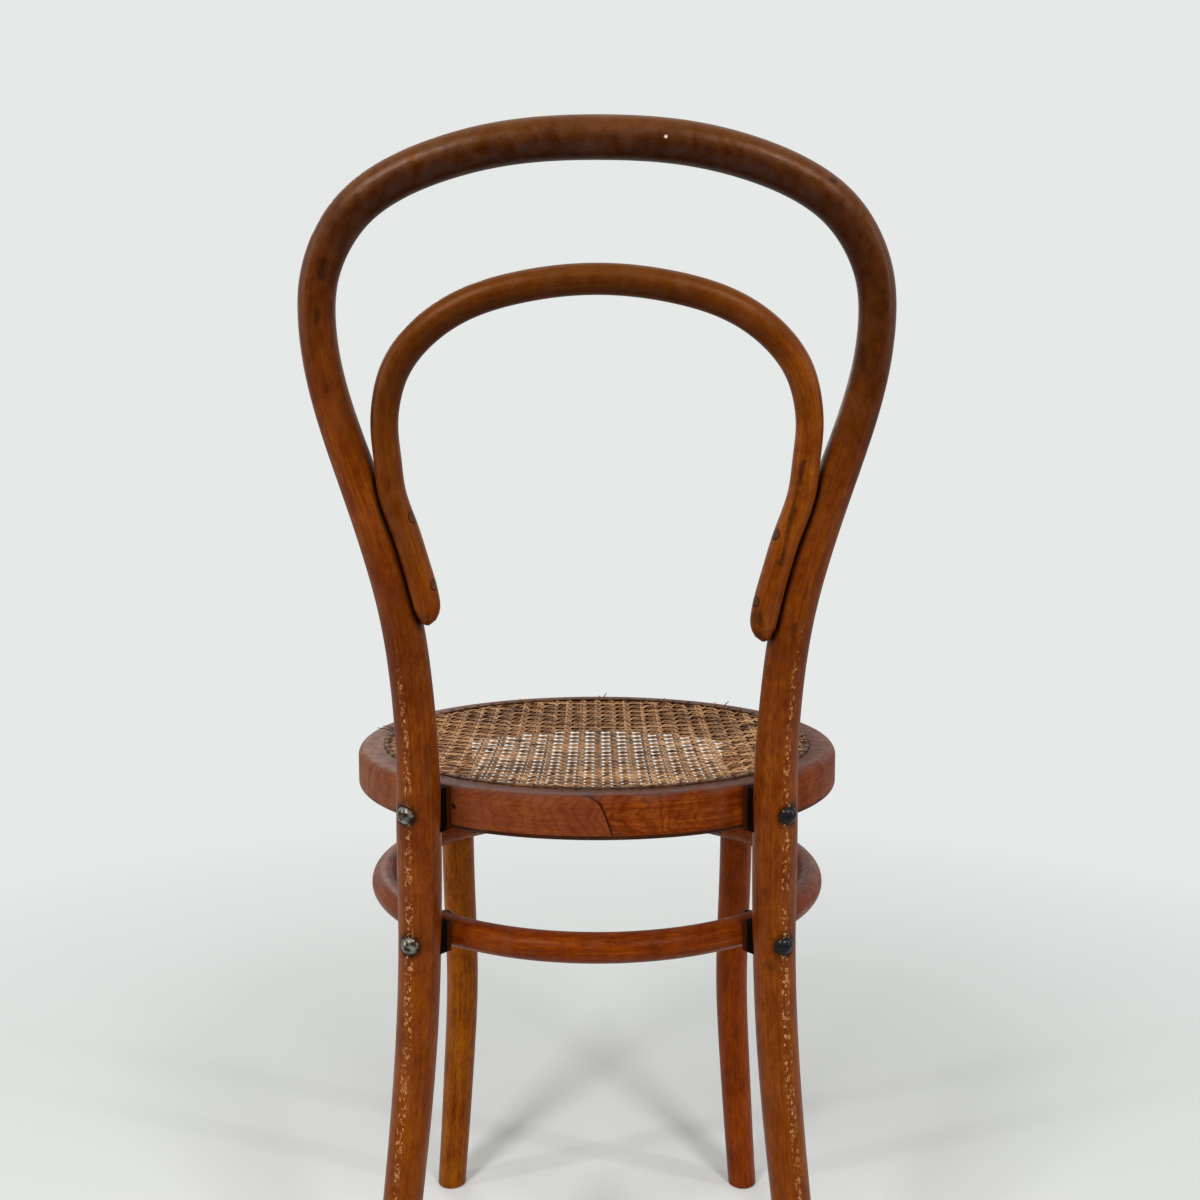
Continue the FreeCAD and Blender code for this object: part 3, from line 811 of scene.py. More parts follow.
@dataclass(frozen=True)
class ShellackedBeech:
    """Steam-bent beech, stained and wiped with shellac: fine straight grain, small pores,
    short ray flecks, and a film that has crackled and gone uneven with age."""

    name: str
    # The three tones of the stained wood, the mineral streaks' colour, which also paints the under side's
    # shade, the colour of rubbed wood, which also paints a sheen on a ring's sides, and the sooty black,
    # which also paints shade in crevices
    light: str = "#874303"
    middle: str = "#6a2900"
    dark: str = "#481500"
    streak_and_shade: str = "#220901"
    rubbed: str = "#96603e"
    soot: str = "#0a0301"
    rub: float = 0.08
    side_sheen: float = 0.0
    streaks: float = 0.4
    # Darker towards the top, old polish together with painted shade: from a height in metres and over how
    # much of it, and how the height leans with X
    deep: str = "#2c0d01"
    deep_from: float = 9.0
    deep_over: float = 0.2
    deep_share: float = 0.85
    lean: float = 0.2
    # The painted light on the upper side, its colour and how much of it, and how much painted shade darkens
    # the under side
    top_light: str = "#6b3c0d"
    top_light_share: float = 0.0
    under: float = 0.0
    # The film: its gloss, and an amber tint because the old film is brown
    roughness: float = 0.37
    sheen: float = 0.2
    amber: str = "#e09a64"
    flake: tuple[float, float, float] = (3.846, 3.846, 5.882)
    # Its painted glints, pale curls of highlight: how much they show, which way they face and in which band
    glints: float = 0.0
    glint_colour: str = "#d49e66"
    curls_face: tuple[float, float] = (0.36, 0.93)
    curls_band: tuple[float, float] = (0.962, 0.984)
    curls_top: tuple[float, float] = (0.56, 0.64)
    seed: float = 0.0
    marks: tuple[Mark, ...] = ()

    def coloured(self, surface: Surface, hairs: Wire) -> Wire:
        """The stained wood's colour.

        Args:
            surface: the material.
            hairs: the vessels' noise.

        Returns:
            The colour.
        """
        stick, seed = surface.stick, self.seed
        # Beech grows in even years: soft bands 2.5 mm apart that run 170 mm along the stick.
        years = stick.noise((2.5, 2.5, 170), 4, seed)
        # Stain takes unevenly over patches 20 to 30 mm across.
        patches = surface.place.noise((20, 20, 30), 6, seed + 7)
        # Handling has bruised it in spots 3 mm by 7 mm.
        bruises = stick.noise((3, 3, 7), 5, seed + 13)
        tone = years * 0.20 + hairs * 0.28 + patches * 0.30 + bruises * 0.22
        colour = tone.ramp((0.37, self.dark), (0.5, self.middle), (0.63, self.light))
        # Mineral streaks: dark flames 3.5 mm across and 90 mm long.
        flames = stick.noise((3.5, 3.5, 90), 4, seed + 11).between(0.60, 0.74, 0.0, self.streaks)
        colour = flames.mix(colour, self.streak_and_shade)
        # Ray flecks: spindles in cells 1.1 mm by 4.3 mm, darker than the wood on the flat face.
        flecks = stick.cells((1.111, 1.111, 4.348)).between(0.16, 0.32, 0.7, 0.0)
        return flecks.mix(colour, self.dark)

    def detailed(self, surface: Surface, colour: Wire) -> Wire:
        """What a kind of piece adds to the plain wood's colour: nothing here."""
        return colour

    def aged(self, surface: Surface, colour: Wire) -> Wire:
        """The colour after a century of hands, dust and polish.

        Args:
            surface: the material.
            colour: the clean finish's colour.

        Returns:
            The colour.
        """
        where, seed = surface.place, self.seed
        x, _, height = where.parts()
        cloud = where.noise((50, 50, 50), 4, seed + 29)
        speckle = where.noise((5, 5, 7), 3, seed + 31) - 0.5
        # Towards the top of the back the wood is darker, old polish together with painted shade where
        # little light falls from above, on one side more than on the other.
        height = height - x * self.lean + cloud * 0.08
        deep = height.between(self.deep_from, self.deep_from + self.deep_over, 0.0, self.deep_share)
        colour = deep.mix(colour, self.deep)
        # Light falling from above is painted on the upper side, paler and yellower, and the under side is
        # painted darker as shade.
        upward = surface.normal.parts()[2] + speckle * 1.2
        colour = upward.between(-0.45, 0.95, 0.0, self.top_light_share).mix(colour, self.top_light)
        colour = upward.between(-0.95, 0.15, self.under, 0.0).mix(colour, self.streak_and_shade)
        # Hands and cloth have rubbed the film thin in soft patches.
        wear = where.noise((22, 22, 30), 5, seed + 17).between(0.52, 0.74, 0.0, self.rub)
        colour = wear.mix(colour, self.rubbed)
        # Painted sheen: the sides of a ring take the rubbed colour in mottled patches, as a side lamp's
        # reflection at a grazing angle, more on the chair's left.
        if self.side_sheen:
            wide = (abs(x) + x * 0.25).between(0.12, 0.23, 0.0, self.side_sheen)
            mottle = where.noise((9, 9, 16), 5, seed + 37).between(0.35, 0.65, 0.1, 1.2)
            colour = (wide * mottle).mix(colour, self.rubbed)
        for mark in self.marks:
            reach = mark.reach(where) + speckle * (2.4 * mark.radius)
            share = reach.between(mark.radius * 0.4, mark.radius * 1.4, mark.share, 0.0)
            colour = share.mix(colour, mark.colour)
        # Soot and old wax with painted shade round the bolt heads, and painted shade in the crevices where
        # pieces meet.
        return surface.stored("grime_and_shade").mix(colour, self.soot)

    def flaked(self, surface: Surface, finer: float = 1.0) -> Wire:
        """How far each point is from the middle of its flake of shellac, in flakes."""
        return surface.stick.cells([size / finer for size in self.flake])

    def curled(self, surface: Surface, colour: Wire) -> Wire:
        """Painted glints: pale curls of highlight in a line down the back of each rear leg, on the crackled
        film.

        Args:
            surface: the material.
            colour: the finish's colour so far.

        Returns:
            The colour.
        """
        normal_x, normal_y, _ = surface.normal.parts()
        x, _, height = surface.place.parts()
        outwards, backwards = self.curls_face
        facing = normal_x * x.reckon("SIGN") * outwards + normal_y * backwards
        band = facing.between(*self.curls_band) * height.between(*self.curls_top, 1.0, 0.0)
        gaps = surface.place.noise((9, 9, 14), 2, self.seed + 61).between(0.34, 0.46)
        glint_spots = surface.stick.noise((3, 3, 4), 2, self.seed + 67).between(0.44, 0.58)
        rims = abs(self.flaked(surface, 1.8) - 0.36).between(0.07, 0.17, self.glints, 0.0)
        return (rims * glint_spots * band * gaps).mix(colour, self.glint_colour)

    def make(self) -> bpy.types.Material:
        """Make the material, with grain along the piece's own stored stick coordinates.

        Returns:
            The material.
        """
        surface = Surface(self.name)
        # Its vessels show as hair lines 0.8 mm across, drawn out to 22 mm.
        hairs = surface.stick.noise((0.8, 0.8, 22), 3, self.seed + 3)
        colour = self.aged(surface, self.detailed(surface, self.coloured(surface, hairs)))
        # Painted highlight: pale glints in a line down the rear legs.
        if self.glints:
            colour = self.curled(surface, colour)
        # The film is satin, duller where it is rubbed, and thicker high on the back.
        film = surface.place.noise((7, 7, 11), 4, self.seed + 23)
        height = surface.place.parts()[2]
        polish = height.between(0.80, 0.87, 0.3 * self.sheen, self.sheen) * film.between(0.35, 0.6)
        surface.give({
            "Base Color": colour,
            "Roughness": film.between(0.3, 0.7, self.roughness - 0.08, self.roughness + 0.12),
            "IOR": 1.5, "Specular IOR Level": self.sheen, "Specular Tint": linear(self.amber),
            "Coat Weight": polish, "Coat Roughness": 0.34, "Coat IOR": 1.5,
        })
        # Its crackled relief lies in cells 3.8 mm by 5.9 mm.
        relief = self.flaked(surface) * 0.8 + hairs * 0.4
        surface.emboss(relief, 0.3, 0.6, "Normal", "Coat Normal")
        return surface.material


@dataclass(frozen=True)
class ScarfedRing(ShellackedBeech):
    """The seat ring's finish: a long glued scarf at the back, with figure that ripples on both
    sides of it, a worn grey edge and a row of small holes round the cane."""

    axis_y: float = 0.0
    left_tint: str = "#74402a"
    edge_wear: str = "#4c3a37"
    inner_shade: str = "#2c1408"
    dusty: str = "#35241f"
    hole: str = "#120904"
    hole_radius: float = 180.5
    hole_spacing: float = 16.5
    # Distances round the section from the outer face's foot: the middle of the outer face,
    # where the top begins, the worn top edge and where the inner face begins
    face_middle: float = 14.0
    top_face: float = 30.0
    top_edge: float = 32.0
    inner_face: float = 52.5

    def detailed(self, surface: Surface, colour: Wire) -> Wire:
        """The scarf, the figure beside it, the worn edge and the pin holes.

        Args:
            surface: the material.
            colour: the plain wood's colour.

        Returns:
            The colour.
        """
        stick, scarf, way = surface.stick, surface.stored("scarf"), surface.stored("round")
        along = stick.parts()[2]
        wander = stick.noise((18, 18, 30), 3, self.seed + 41)
        # Left of the line the wood is pinker for some 150 mm.
        left = scarf.between(0.0, 0.0004) * scarf.between(0.05, 0.17, 0.36, 0.0)
        colour = left.mix(colour, self.left_tint)
        # Figure cut across the years: nested arcs 8.3 mm apart, fainter away from the line.
        arch = along * 120.0 + ((way - self.face_middle * MM) * 75.0).square() + wander * 5.0
        wave = (arch * FULL_TURN).reckon("SINE").between(-0.2, 1.0)
        right = scarf.between(-0.07, -0.02, 0.0, 0.3) * scarf.between(-0.001, 0.0, 1.0, 0.0)
        near = abs(scarf).between(0.03, 0.12, 0.34, 0.0) + right
        colour = (wave * near).mix(colour, self.dark)
        line = abs(scarf).between(0.0004, 0.0010, 0.95, 0.0)
        colour = line.mix(colour, self.streak_and_shade)
        # The top edge is rubbed through to bare grey wood.
        edge = abs(way - self.top_edge * MM).between(0.002, 0.009, 1.0, 0.0)
        patchy = stick.noise((6, 6, 26), 4, self.seed + 47).between(0.36, 0.62, 0.0, 0.75)
        colour = (edge * patchy).mix(colour, self.edge_wear)
        # Dust and cloths have greyed the top.
        top = way.between(0.033, 0.037, 0.0, 0.6) * wander.between(0.3, 0.6, 0.6, 1.0)
        colour = top.mix(colour, self.dusty)
        # The inner face, under the cane, is painted dark as shade.
        inner = way.between(self.inner_face * MM, (self.inner_face + 1.0) * MM, 0.0, 0.85)
        colour = inner.mix(colour, self.inner_shade)
        return self.pinned(surface, way, along).mix(colour, self.hole)

    def pinned(self, surface: Surface, way: Wire, along: Wire) -> Wire:
        """Where the pin holes are, in a row on the top beside the cane.

        Args:
            surface: the material.
            way: distance round the section from the outer face's foot.
            along: distance round the ring from its back.

        Returns:
            A value that is 0 away from the holes.
        """
        spacing = self.hole_spacing * MM
        along = ((along / spacing).reckon("FRACT") - 0.5) * spacing
        level = surface.place.vector("SUBTRACT", (0.0, self.axis_y, 0.0))
        across = level.vector("MULTIPLY", (1.0, 1.0, 0.0)).length() - self.hole_radius * MM
        reach = (along.square() + across.square()).reckon("SQRT")
        return reach.between(0.0009, 0.0014, 0.9, 0.0) * way.reckon("GREATER_THAN", self.top_face * MM)


@dataclass(frozen=True)
class EndGrainPlug(ShellackedBeech):
    """A plug's sawn end, darker than the loop, with a black glue line round it."""

    reach: float = 3.9
    glue: str = "#150803"

    def detailed(self, surface: Surface, colour: Wire) -> Wire:
        """The glue line round each plug, over the plain wood's colour.

        Args:
            surface: the material.
            colour: the plain wood's colour.

        Returns:
            The colour.
        """
        radius = surface.stick.vector("MULTIPLY", (1.0, 1.0, 0.0)).length()
        rim = radius.between((self.reach - 0.75) * MM, (self.reach - 0.35) * MM, 0.0, 0.9)
        return rim.mix(colour, self.glue)


@dataclass(frozen=True)
class AgedCane:
    """Split rattan cane: a glossy outer skin, honey when new and brown with age and dust."""

    name: str
    light: str = "#c99c70"
    middle: str = "#92663f"
    dark: str = "#482a13"
    roughness: float = 0.5

    def make(self) -> bpy.types.Material:
        """Make the material, with fibres along each strand.

        Returns:
            The material.
        """
        surface = Surface(self.name)
        # Fibres 0.25 mm across in the real skin, drawn 0.5 mm across so that they show.
        fibres = surface.stick.noise((0.5, 0.5, 30), 2)
        # Age has browned the weave in patches 14 mm across, and dust in patches of 60 mm.
        lengths = surface.place.noise((14, 14, 14), 3, 5)
        dust = surface.place.noise((60, 60, 60), 3, 9)
        # Each strand was split from its own stem, so each has its own tone.
        tone = fibres * 0.22 + lengths * 0.28 + dust * 0.22 + surface.stored("tone") * 0.28
        surface.give({
            "Base Color": tone.ramp((0.36, self.dark), (0.5, self.middle), (0.64, self.light)),
            "Roughness": dust.between(0.35, 0.65, self.roughness - 0.1, self.roughness + 0.15),
            "IOR": 1.5, "Specular IOR Level": 0.14,
        })
        surface.emboss(fibres, 0.3, 0.2)
        return surface.material


@dataclass(frozen=True)
class WornSteel:
    """Zinc-plated steel, rubbed to grey with brown tarnish in its hollows."""

    name: str
    bright: str = "#8f8d84"
    tarnish: str = "#2c2017"
    roughness: float = 0.32

    def make(self) -> bpy.types.Material:
        """Make the material, with tarnish in spots of 4.5 mm and dents of 1.4 mm.

        Returns:
            The material.
        """
        surface = Surface(self.name)
        spots = surface.place.noise((4.5, 4.5, 4.5), 4)
        surface.give({
            "Base Color": spots.between(0.40, 0.60, 0.15, 1.0).mix(self.bright, self.tarnish),
            "Roughness": spots.between(0.3, 0.7, self.roughness - 0.08, self.roughness + 0.2),
            "Metallic": 1.0,
        })
        surface.emboss(surface.place.noise((1.4, 1.4, 1.4), 3), 0.2, 0.3)
        return surface.material


@dataclass(frozen=True)
class BlackedSteel:
    """Steel with a baked black japan, glossy, chipped a little in small spots."""

    name: str
    black: str = "#070607"
    chipped: str = "#2c221c"
    roughness: float = 0.2

    def make(self) -> bpy.types.Material:
        """Make the material, with chips and dents of 1.6 mm.

        Returns:
            The material.
        """
        surface = Surface(self.name)
        spots = surface.place.noise((1.6, 1.6, 1.6), 4)
        surface.give({
            "Base Color": spots.between(0.6, 0.68, 0.0, 0.8).mix(self.black, self.chipped),
            "Roughness": spots.between(0.3, 0.7, self.roughness - 0.05, self.roughness + 0.2),
            "Specular IOR Level": 0.16,
        })
        surface.emboss(spots, 0.2, 0.3)
        return surface.material


@dataclass(frozen=True)
class BlackedWood:
    """Wood packers stained black and never polished, dusty in the corners."""

    name: str
    inner: float = 0.0
    black: str = "#050202"
    dust: str = "#0e0705"
    rubbed: str = "#3c1706"
    edge: float = 3.0

    def make(self) -> bpy.types.Material:
        """Make the material, with grain 1.2 mm across that runs 12 mm upwards.

        Returns:
            The material.
        """
        surface = Surface(self.name)
        lines = surface.place.noise((1.2, 1.2, 12), 3)
        # The black has rubbed off the edge towards the middle of the chair.
        spread = abs(surface.place.parts()[0]) + (lines - 0.5) * MM
        bare = spread.between(self.inner + (self.edge - 0.8) * MM, self.inner + self.edge * MM, 0.85, 0.0)
        surface.give({
            "Base Color": bare.mix(lines.mix(self.black, self.dust), self.rubbed),
            "Roughness": 0.7, "Specular IOR Level": 0.02,
        })
        surface.emboss(lines, 0.3, 0.3)
        return surface.material


# Painted light and shade in the hoop's finish: glints down the rear legs, light on the upper side, shade
# under it and towards the top.
HOOP_BEECH = ShellackedBeech(
    "shellacked_beech_hoop", light="#844202", middle="#6a2a00", dark="#461400",
    deep="#220800", deep_from=0.70, deep_over=0.16, deep_share=0.9, glints=0.6, top_light_share=0.55, under=0.45,
    marks=(
        Mark((-0.0400, 0.2335, 0.8918), 0.0010, "#efe6d6"),
        Mark((-0.1205, 0.155, 0.541), 0.0022, "#1a0902", 0.85),
        Mark((-0.1240, 0.140, 0.352), 0.006, "#3c1804", 0.5),
        Mark((0.1640, 0.215, 0.8230), 0.0026, "#1c0a02", 0.8, (0.1660, 0.212, 0.8150)),
        Mark((0.1700, 0.210, 0.7960), 0.0020, "#1c0a02", 0.7, (0.1705, 0.209, 0.7880)),
        Mark((0.1680, 0.210, 0.7580), 0.0018, "#240d02", 0.6, (0.1670, 0.207, 0.7480)),
        Mark((-0.1360, 0.222, 0.8690), 0.0016, "#120601", 0.8, (-0.1400, 0.222, 0.8675)),
        Mark((-0.1640, 0.210, 0.7740), 0.0016, "#1c0a02", 0.6, (-0.1650, 0.210, 0.7600)),
        Mark((0.1290, 0.17, 0.5650), 0.026, "#3c1200", 0.4, (0.1330, 0.18, 0.610)),
        Mark((-0.1280, 0.17, 0.5700), 0.022, "#3c1200", 0.3, (-0.1330, 0.18, 0.600)),
        Mark((-0.1290, 0.175, 0.5990), 0.0018, "#2a1003", 0.6, (-0.1285, 0.172, 0.5900)),
    ))
# Painted light and shade in the loop's finish: light on the upper side, shade under it and towards the top.
LOOP_BEECH = ShellackedBeech(
    "shellacked_beech_loop", light="#8c4a05", middle="#6f3001", dark="#4c1900",
    deep="#351300", deep_from=0.69, deep_over=0.14, deep_share=0.8, lean=-0.35,
    streaks=0.7, top_light_share=0.5, under=0.3, seed=40.0,
    marks=(
        Mark((-0.1290, 0.2, 0.704), 0.0020, "#2c1003", 0.85, (-0.1180, 0.19, 0.640)),
        Mark((-0.1035, 0.19, 0.612), 0.0045, "#1a0b04", 0.75, (-0.1060, 0.19, 0.590)),
        Mark((0.1400, 0.2, 0.742), 0.0014, "#1c0a02", 0.6, (0.1395, 0.2, 0.728)),
    ))
PLUG_BEECH = EndGrainPlug(
    "beech_end_grain_plug", light="#5e3218", middle="#48240e", dark="#301406",
    streaks=0.0, rub=0.0, seed=60.0)
# The leg ring's rubbed colour also paints a sheen on its sides.
LEG_RING_BEECH = ShellackedBeech(
    "shellacked_beech_leg_ring", light="#803a04", middle="#642501", dark="#441400",
    rub=0.25, side_sheen=0.12, sheen=0.16, rubbed="#7c4c30", seed=100.0)
FRONT_LEG_BEECH = {
    Side.LEFT: ShellackedBeech("shellacked_beech_front_leg_left", light="#935203", middle="#7a3d00",
                               seed=127.0, streaks=0.35),
    Side.RIGHT: ShellackedBeech("shellacked_beech_front_leg_right", light="#8a3a02", middle="#712b00",
                                seed=113.0, streaks=0.35),
}


def seat_beech(axis_y: float) -> ScarfedRing:
    """The seat ring's finish.

    Args:
        axis_y: where the seat's axis is along Y.

    Returns:
        The finish, with its pin holes round that axis.
    """
    # The rubbed colour also paints a sheen on the ring's sides, and the inner face is painted dark as
    # shade.
    return ScarfedRing(
        "shellacked_beech_seat", light="#824012", middle="#652806", dark="#461702",
        rub=0.16, side_sheen=0.62, rubbed="#84573c", roughness=0.44, sheen=0.08, seed=80.0,
        axis_y=axis_y, marks=(Mark((0.1005, 0.130, 0.4655), 0.0016, "#120503"),))


# Rods

@dataclass
class StandingRod:
    """A bent rod that stands on the floor."""

    axis_y: float
    finish: ShellackedBeech
    below_floor: float = 27.0
    foot_bevel: float = 1.5
    step: float = 4.0
    sides: int = 44
    crease: float = 40.0

    def stations(self, rows: Iterable[Row], side: Side = Side.LEFT) -> list[Station]:
        """Stations from rows of half spread, distance behind the seat's axis, height and diameter."""
        return [Station(place(x * side.value, y, z, self.axis_y), d * MM) for x, y, z, d in rows]

    def footed(self, line: list[Station]) -> list[Station]:
        """Draw a line out at its start to below the floor, where the foot is cut.

        Args:
            line: the stations, from the foot up.

        Returns:
            The line with one more station.
        """
        foot, above = line[0], line[1]
        down = (foot.point - above.point).normalized()
        return [Station(foot.point + down * (self.below_floor * MM), foot.diameter), *line]

    def bend(self, tree: Any, course: Course, name: str, slot: str, node: str) -> bpy.types.Object:
        """Bend the rod and cut its feet.

        Args:
            tree: the bent rod's tree.
            course: the rod's course.
            name: the piece's name.
            slot: its material slot.
            node: the frame's node that it replaces.

        Returns:
            The piece.
        """
        maker = curve_maker([course.sampled(self.step * MM)])
        piece = modifier_result(maker, tree, name, {"Sides": self.sides, "Material": self.finish.make()})
        level_feet(piece, self.foot_bevel * MM)
        keep_creases(piece, self.crease)
        return settle(piece, slot, node)


@dataclass
class BackFrame(StandingRod):
    """Both rear legs and the hoop of the back, one bent rod."""

    # Half spread, distance behind the seat's axis, height and diameter, from the left foot up
    half: tuple[Row, ...] = (
        (158.0, 213.58, 0.0, 27.0),
        (148.5, 185.58, 91.75, 27.8),
        (139.3, 166.58, 183.5, 28.6),
        (130.0, 156.58, 293.6, 30.2),
        (126.5, 158.58, 367.0, 30.6),
        (124.0, 171.95, 464.5, 31.0),
        (123.4, 175.95, 486.0, 30.0),
        (124.8, 188.45, 551.0, 28.2),
        (130.7, 199.45, 607.0, 27.8),
        (139.5, 207.45, 647.0, 27.2),
        (150.9, 215.45, 687.0, 26.2),
        (162.4, 222.95, 725.0, 24.8),
        (170.7, 230.45, 762.0, 23.5),
        (172.8, 235.95, 790.0, 23.0),
        (170.0, 240.95, 815.0, 23.2),
        (158.3, 245.95, 841.0, 24.0),
        (145.0, 249.15, 856.5, 24.4),
        (126.0, 251.75, 869.5, 24.6),
        (95.5, 254.35, 882.0, 24.9),
        (54.0, 256.15, 891.5, 25.2),
    )
    top: Row = (0.0, 256.75, 894.8, 25.4)

    def left_half(self) -> list[Station]:
        """The stations of the left half, from below the floor to beside the top."""
        return self.footed(self.stations(self.half))

    def course(self) -> Course:
        """The whole rod's course, from the left foot over the top."""
        half = self.left_half()
        return Course(half + self.stations([self.top]) + flipped(reversed(half)))

    def build(self, tree: Any) -> bpy.types.Object:
        """Make the rod with the bent rod's tree."""
        return self.bend(tree, self.course(), "bent_back_frame", "hoop_wood", "back_frame")


@dataclass
class FrontLeg(StandingRod):
    """A front leg, bent a little outwards between the two rings."""

    side: Side = Side.LEFT
    tenon: float = 10.0
    # Half spread, distance behind the seat's axis, height and diameter, from the foot up
    rows: tuple[Row, ...] = (
        (144.0, -146.5, 0.0, 27.0),
        (140.0, -149.0, 56.9, 28.0),
        (136.0, -151.5, 121.1, 29.2),
        (132.0, -152.0, 209.2, 30.2),
        (133.6, -149.0, 297.3, 30.4),
        (134.0, -142.0, 367.0, 30.4),
        (133.0, -121.28, 449.0, 31.0),
    )

    def build(self, tree: Any) -> bpy.types.Object:
        """Make the leg.

        Args:
            tree: the bent rod's tree.

        Returns:
            The piece.
        """
        line = self.footed(self.stations(self.rows, self.side))
        top, below = line[-1], line[-2]
        up = (top.point - below.point).normalized()
        line.append(Station(top.point + up * (self.tenon * MM), top.diameter))
        node = "front_leg_" + self.side.word
        return self.bend(tree, Course(line), "bent_" + node, "leg_wood", node)


@dataclass
class InnerLoop:
    """The thinner loop inside the hoop, lying against its two sides, with plugged screws."""

    back: BackFrame
    finish: ShellackedBeech
    plug_finish: EndGrainPlug
    joint_height: float = 464.5
    # Rise above the seat joint, half spread and diameter
    arch: tuple[tuple[float, float, float], ...] = (
        (241.5, 132.2, 17.6),
        (259.5, 133.2, 17.4),
        (278.5, 131.0, 17.7),
        (296.5, 124.7, 18.4),
        (314.5, 111.0, 19.0),
        (332.5, 85.5, 19.2),
        (344.5, 48.0, 19.1),
    )
    crown: tuple[float, float, float] = (349.5, 0.0, 19.0)
    end_diameter: float = 18.0
    tip_diameter: float = 4.0
    tip_length: float = 14.0
    tip_steps: int = 4
    nose_angles: tuple[float, ...] = (30.0, 60.0, 82.0)
    leaves_at: float = 220.0
    tips: dict[Side, float] = field(default_factory=lambda: {Side.LEFT: 136.0, Side.RIGHT: 125.0})
    cope: float = 0.8
    behind_angle: float = -68.0
    fit: float = 0.15
    fit_step: float = 0.8
    step: float = 3.0
    sides: int = 36
    crease: float = 40.0
    # The plugs: where they are, how far they stand proud and are sunk at their rims, and how far
    # apart in the grain those of one end are
    screw_from_tip: float = 25.0
    screw_spacing: float = 44.0
    screw_rows: int = 2
    plug_diameter: float = 8.1
    plug_rings: int = 7
    plug_spokes: int = 40
    plug_proud: float = 0.22
    plug_dome: float = 0.1
    plug_sunk: float = 1.2
    plug_shift: float = 10.0
    outside: float = 30.0

    def __post_init__(self) -> None:
        """Fit the course of the hoop's left side, which only rises."""
        self.left_hoop = Course(self.back.left_half())

    def hoop_at(self, rise: float) -> Station:
        """The left side of the hoop at a rise above the seat joint."""
        return self.left_hoop.at_height((self.joint_height + rise) * MM)

    def against(self, rise: float, diameter: float) -> Station:
        """The loop's station where it lies against the left side of the hoop.

        Args:
            rise: the rise above the seat joint in mm.
            diameter: the loop's diameter there in mm.

        Returns:
            The station.
        """
        hoop = self.hoop_at(rise)
        reach = hoop.diameter / 2 + (diameter / 2 - self.cope) * MM
        return Station(hoop.point + level_way(self.behind_angle) * reach, diameter * MM)

    def end(self, tip: float) -> list[Station]:
        """Stations of one left-hand end, from its rounded tip to where it leaves the hoop.

        Args:
            tip: the tip's rise above the seat joint in mm.

        Returns:
            The stations.
        """
        stations = []
        for step in range(self.tip_steps):
            turn = math.radians(90.0 * step / self.tip_steps)
            diameter = self.tip_diameter + (self.end_diameter - self.tip_diameter) * math.sin(turn)
            stations.append(self.against(tip + self.tip_length * (1 - math.cos(turn)), diameter))
        full = tip + self.tip_length
        for share in (0, 1 / 3, 2 / 3, 1):
            stations.append(self.against(full + (self.leaves_at - full) * share, self.end_diameter))
        return stations

    def course(self) -> Course:
        """The loop's whole course, from the left tip over the top.

        Returns:
            The course.
        """
        last = self.against(self.leaves_at, self.end_diameter).point.y
        behind = last - self.hoop_at(self.leaves_at).point.y
        arch = []
        for rise, spread, diameter in (*self.arch, self.crown):
            height = (self.joint_height + rise) * MM
            point = Vector((spread * MM, self.hoop_at(rise).point.y + behind, height))
            arch.append(Station(point, diameter * MM))
        left, right = [self.end(self.tips[side]) + arch[:-1] for side in Side]
        return Course(left + arch[-1:] + flipped(reversed(right)))

    def nose(self, end: Station, neighbour: Station) -> list[Station]:
        """The round nose beyond an end of the line.

        Args:
            end: the line's last station.
            neighbour: the station before it.

        Returns:
            The nose's stations, from the end outwards.
        """
        away = (end.point - neighbour.point).normalized() * (end.diameter / 2)
        angles = [math.radians(angle) for angle in self.nose_angles]
        return [Station(end.point + away * math.sin(a), end.diameter * math.cos(a)) for a in angles]

    def fit_to_hoop(self, piece: bpy.types.Object) -> None:
        """Hollow the loop where it lies on the hoop.

        Args:
            piece: the loop.
        """
        samples = self.back.course().sampled(self.fit_step * MM)
        tree = KDTree(len(samples))
        for i, station in enumerate(samples):
            tree.insert(station.point, i)
        tree.balance()
        for vert in piece.data.vertices:
            centre, i, distance = tree.find(vert.co)
            limit = samples[i].diameter / 2 + self.fit * MM
            if distance < limit:
                vert.co = centre + (vert.co - centre).normalized() * limit

    def plug_spots(self) -> Iterator[tuple[Vector, Vector, int]]:
        """Go through the four plugs, the left end's first.

        Returns:
            The centre, outward direction and row of each plug.
        """
        for side in Side:
            for row in range(self.screw_rows):
                rise = self.tips[side] + self.screw_from_tip + row * self.screw_spacing
                centre = self.against(rise, self.end_diameter).point
                centre.x *= side.value
                yield centre, level_way(self.behind_angle, side), row

    def plugs(self, loop: bpy.types.Object) -> bpy.types.Object:
        """The four plugs, pared flush with the loop.

        Args:
            loop: the finished loop.

        Returns:
            One piece that holds the four caps.
        """
        tree = surface_tree(loop)
        bm = bmesh.new()
        grain = bm.verts.layers.float_vector.new("grain")
        radius, last = self.plug_diameter * MM / 2, self.plug_rings
        for centre, axis, row in self.plug_spots():
            level = Vector((-axis.y, axis.x, 0))
            rings = []
            for step in range(last + 1):
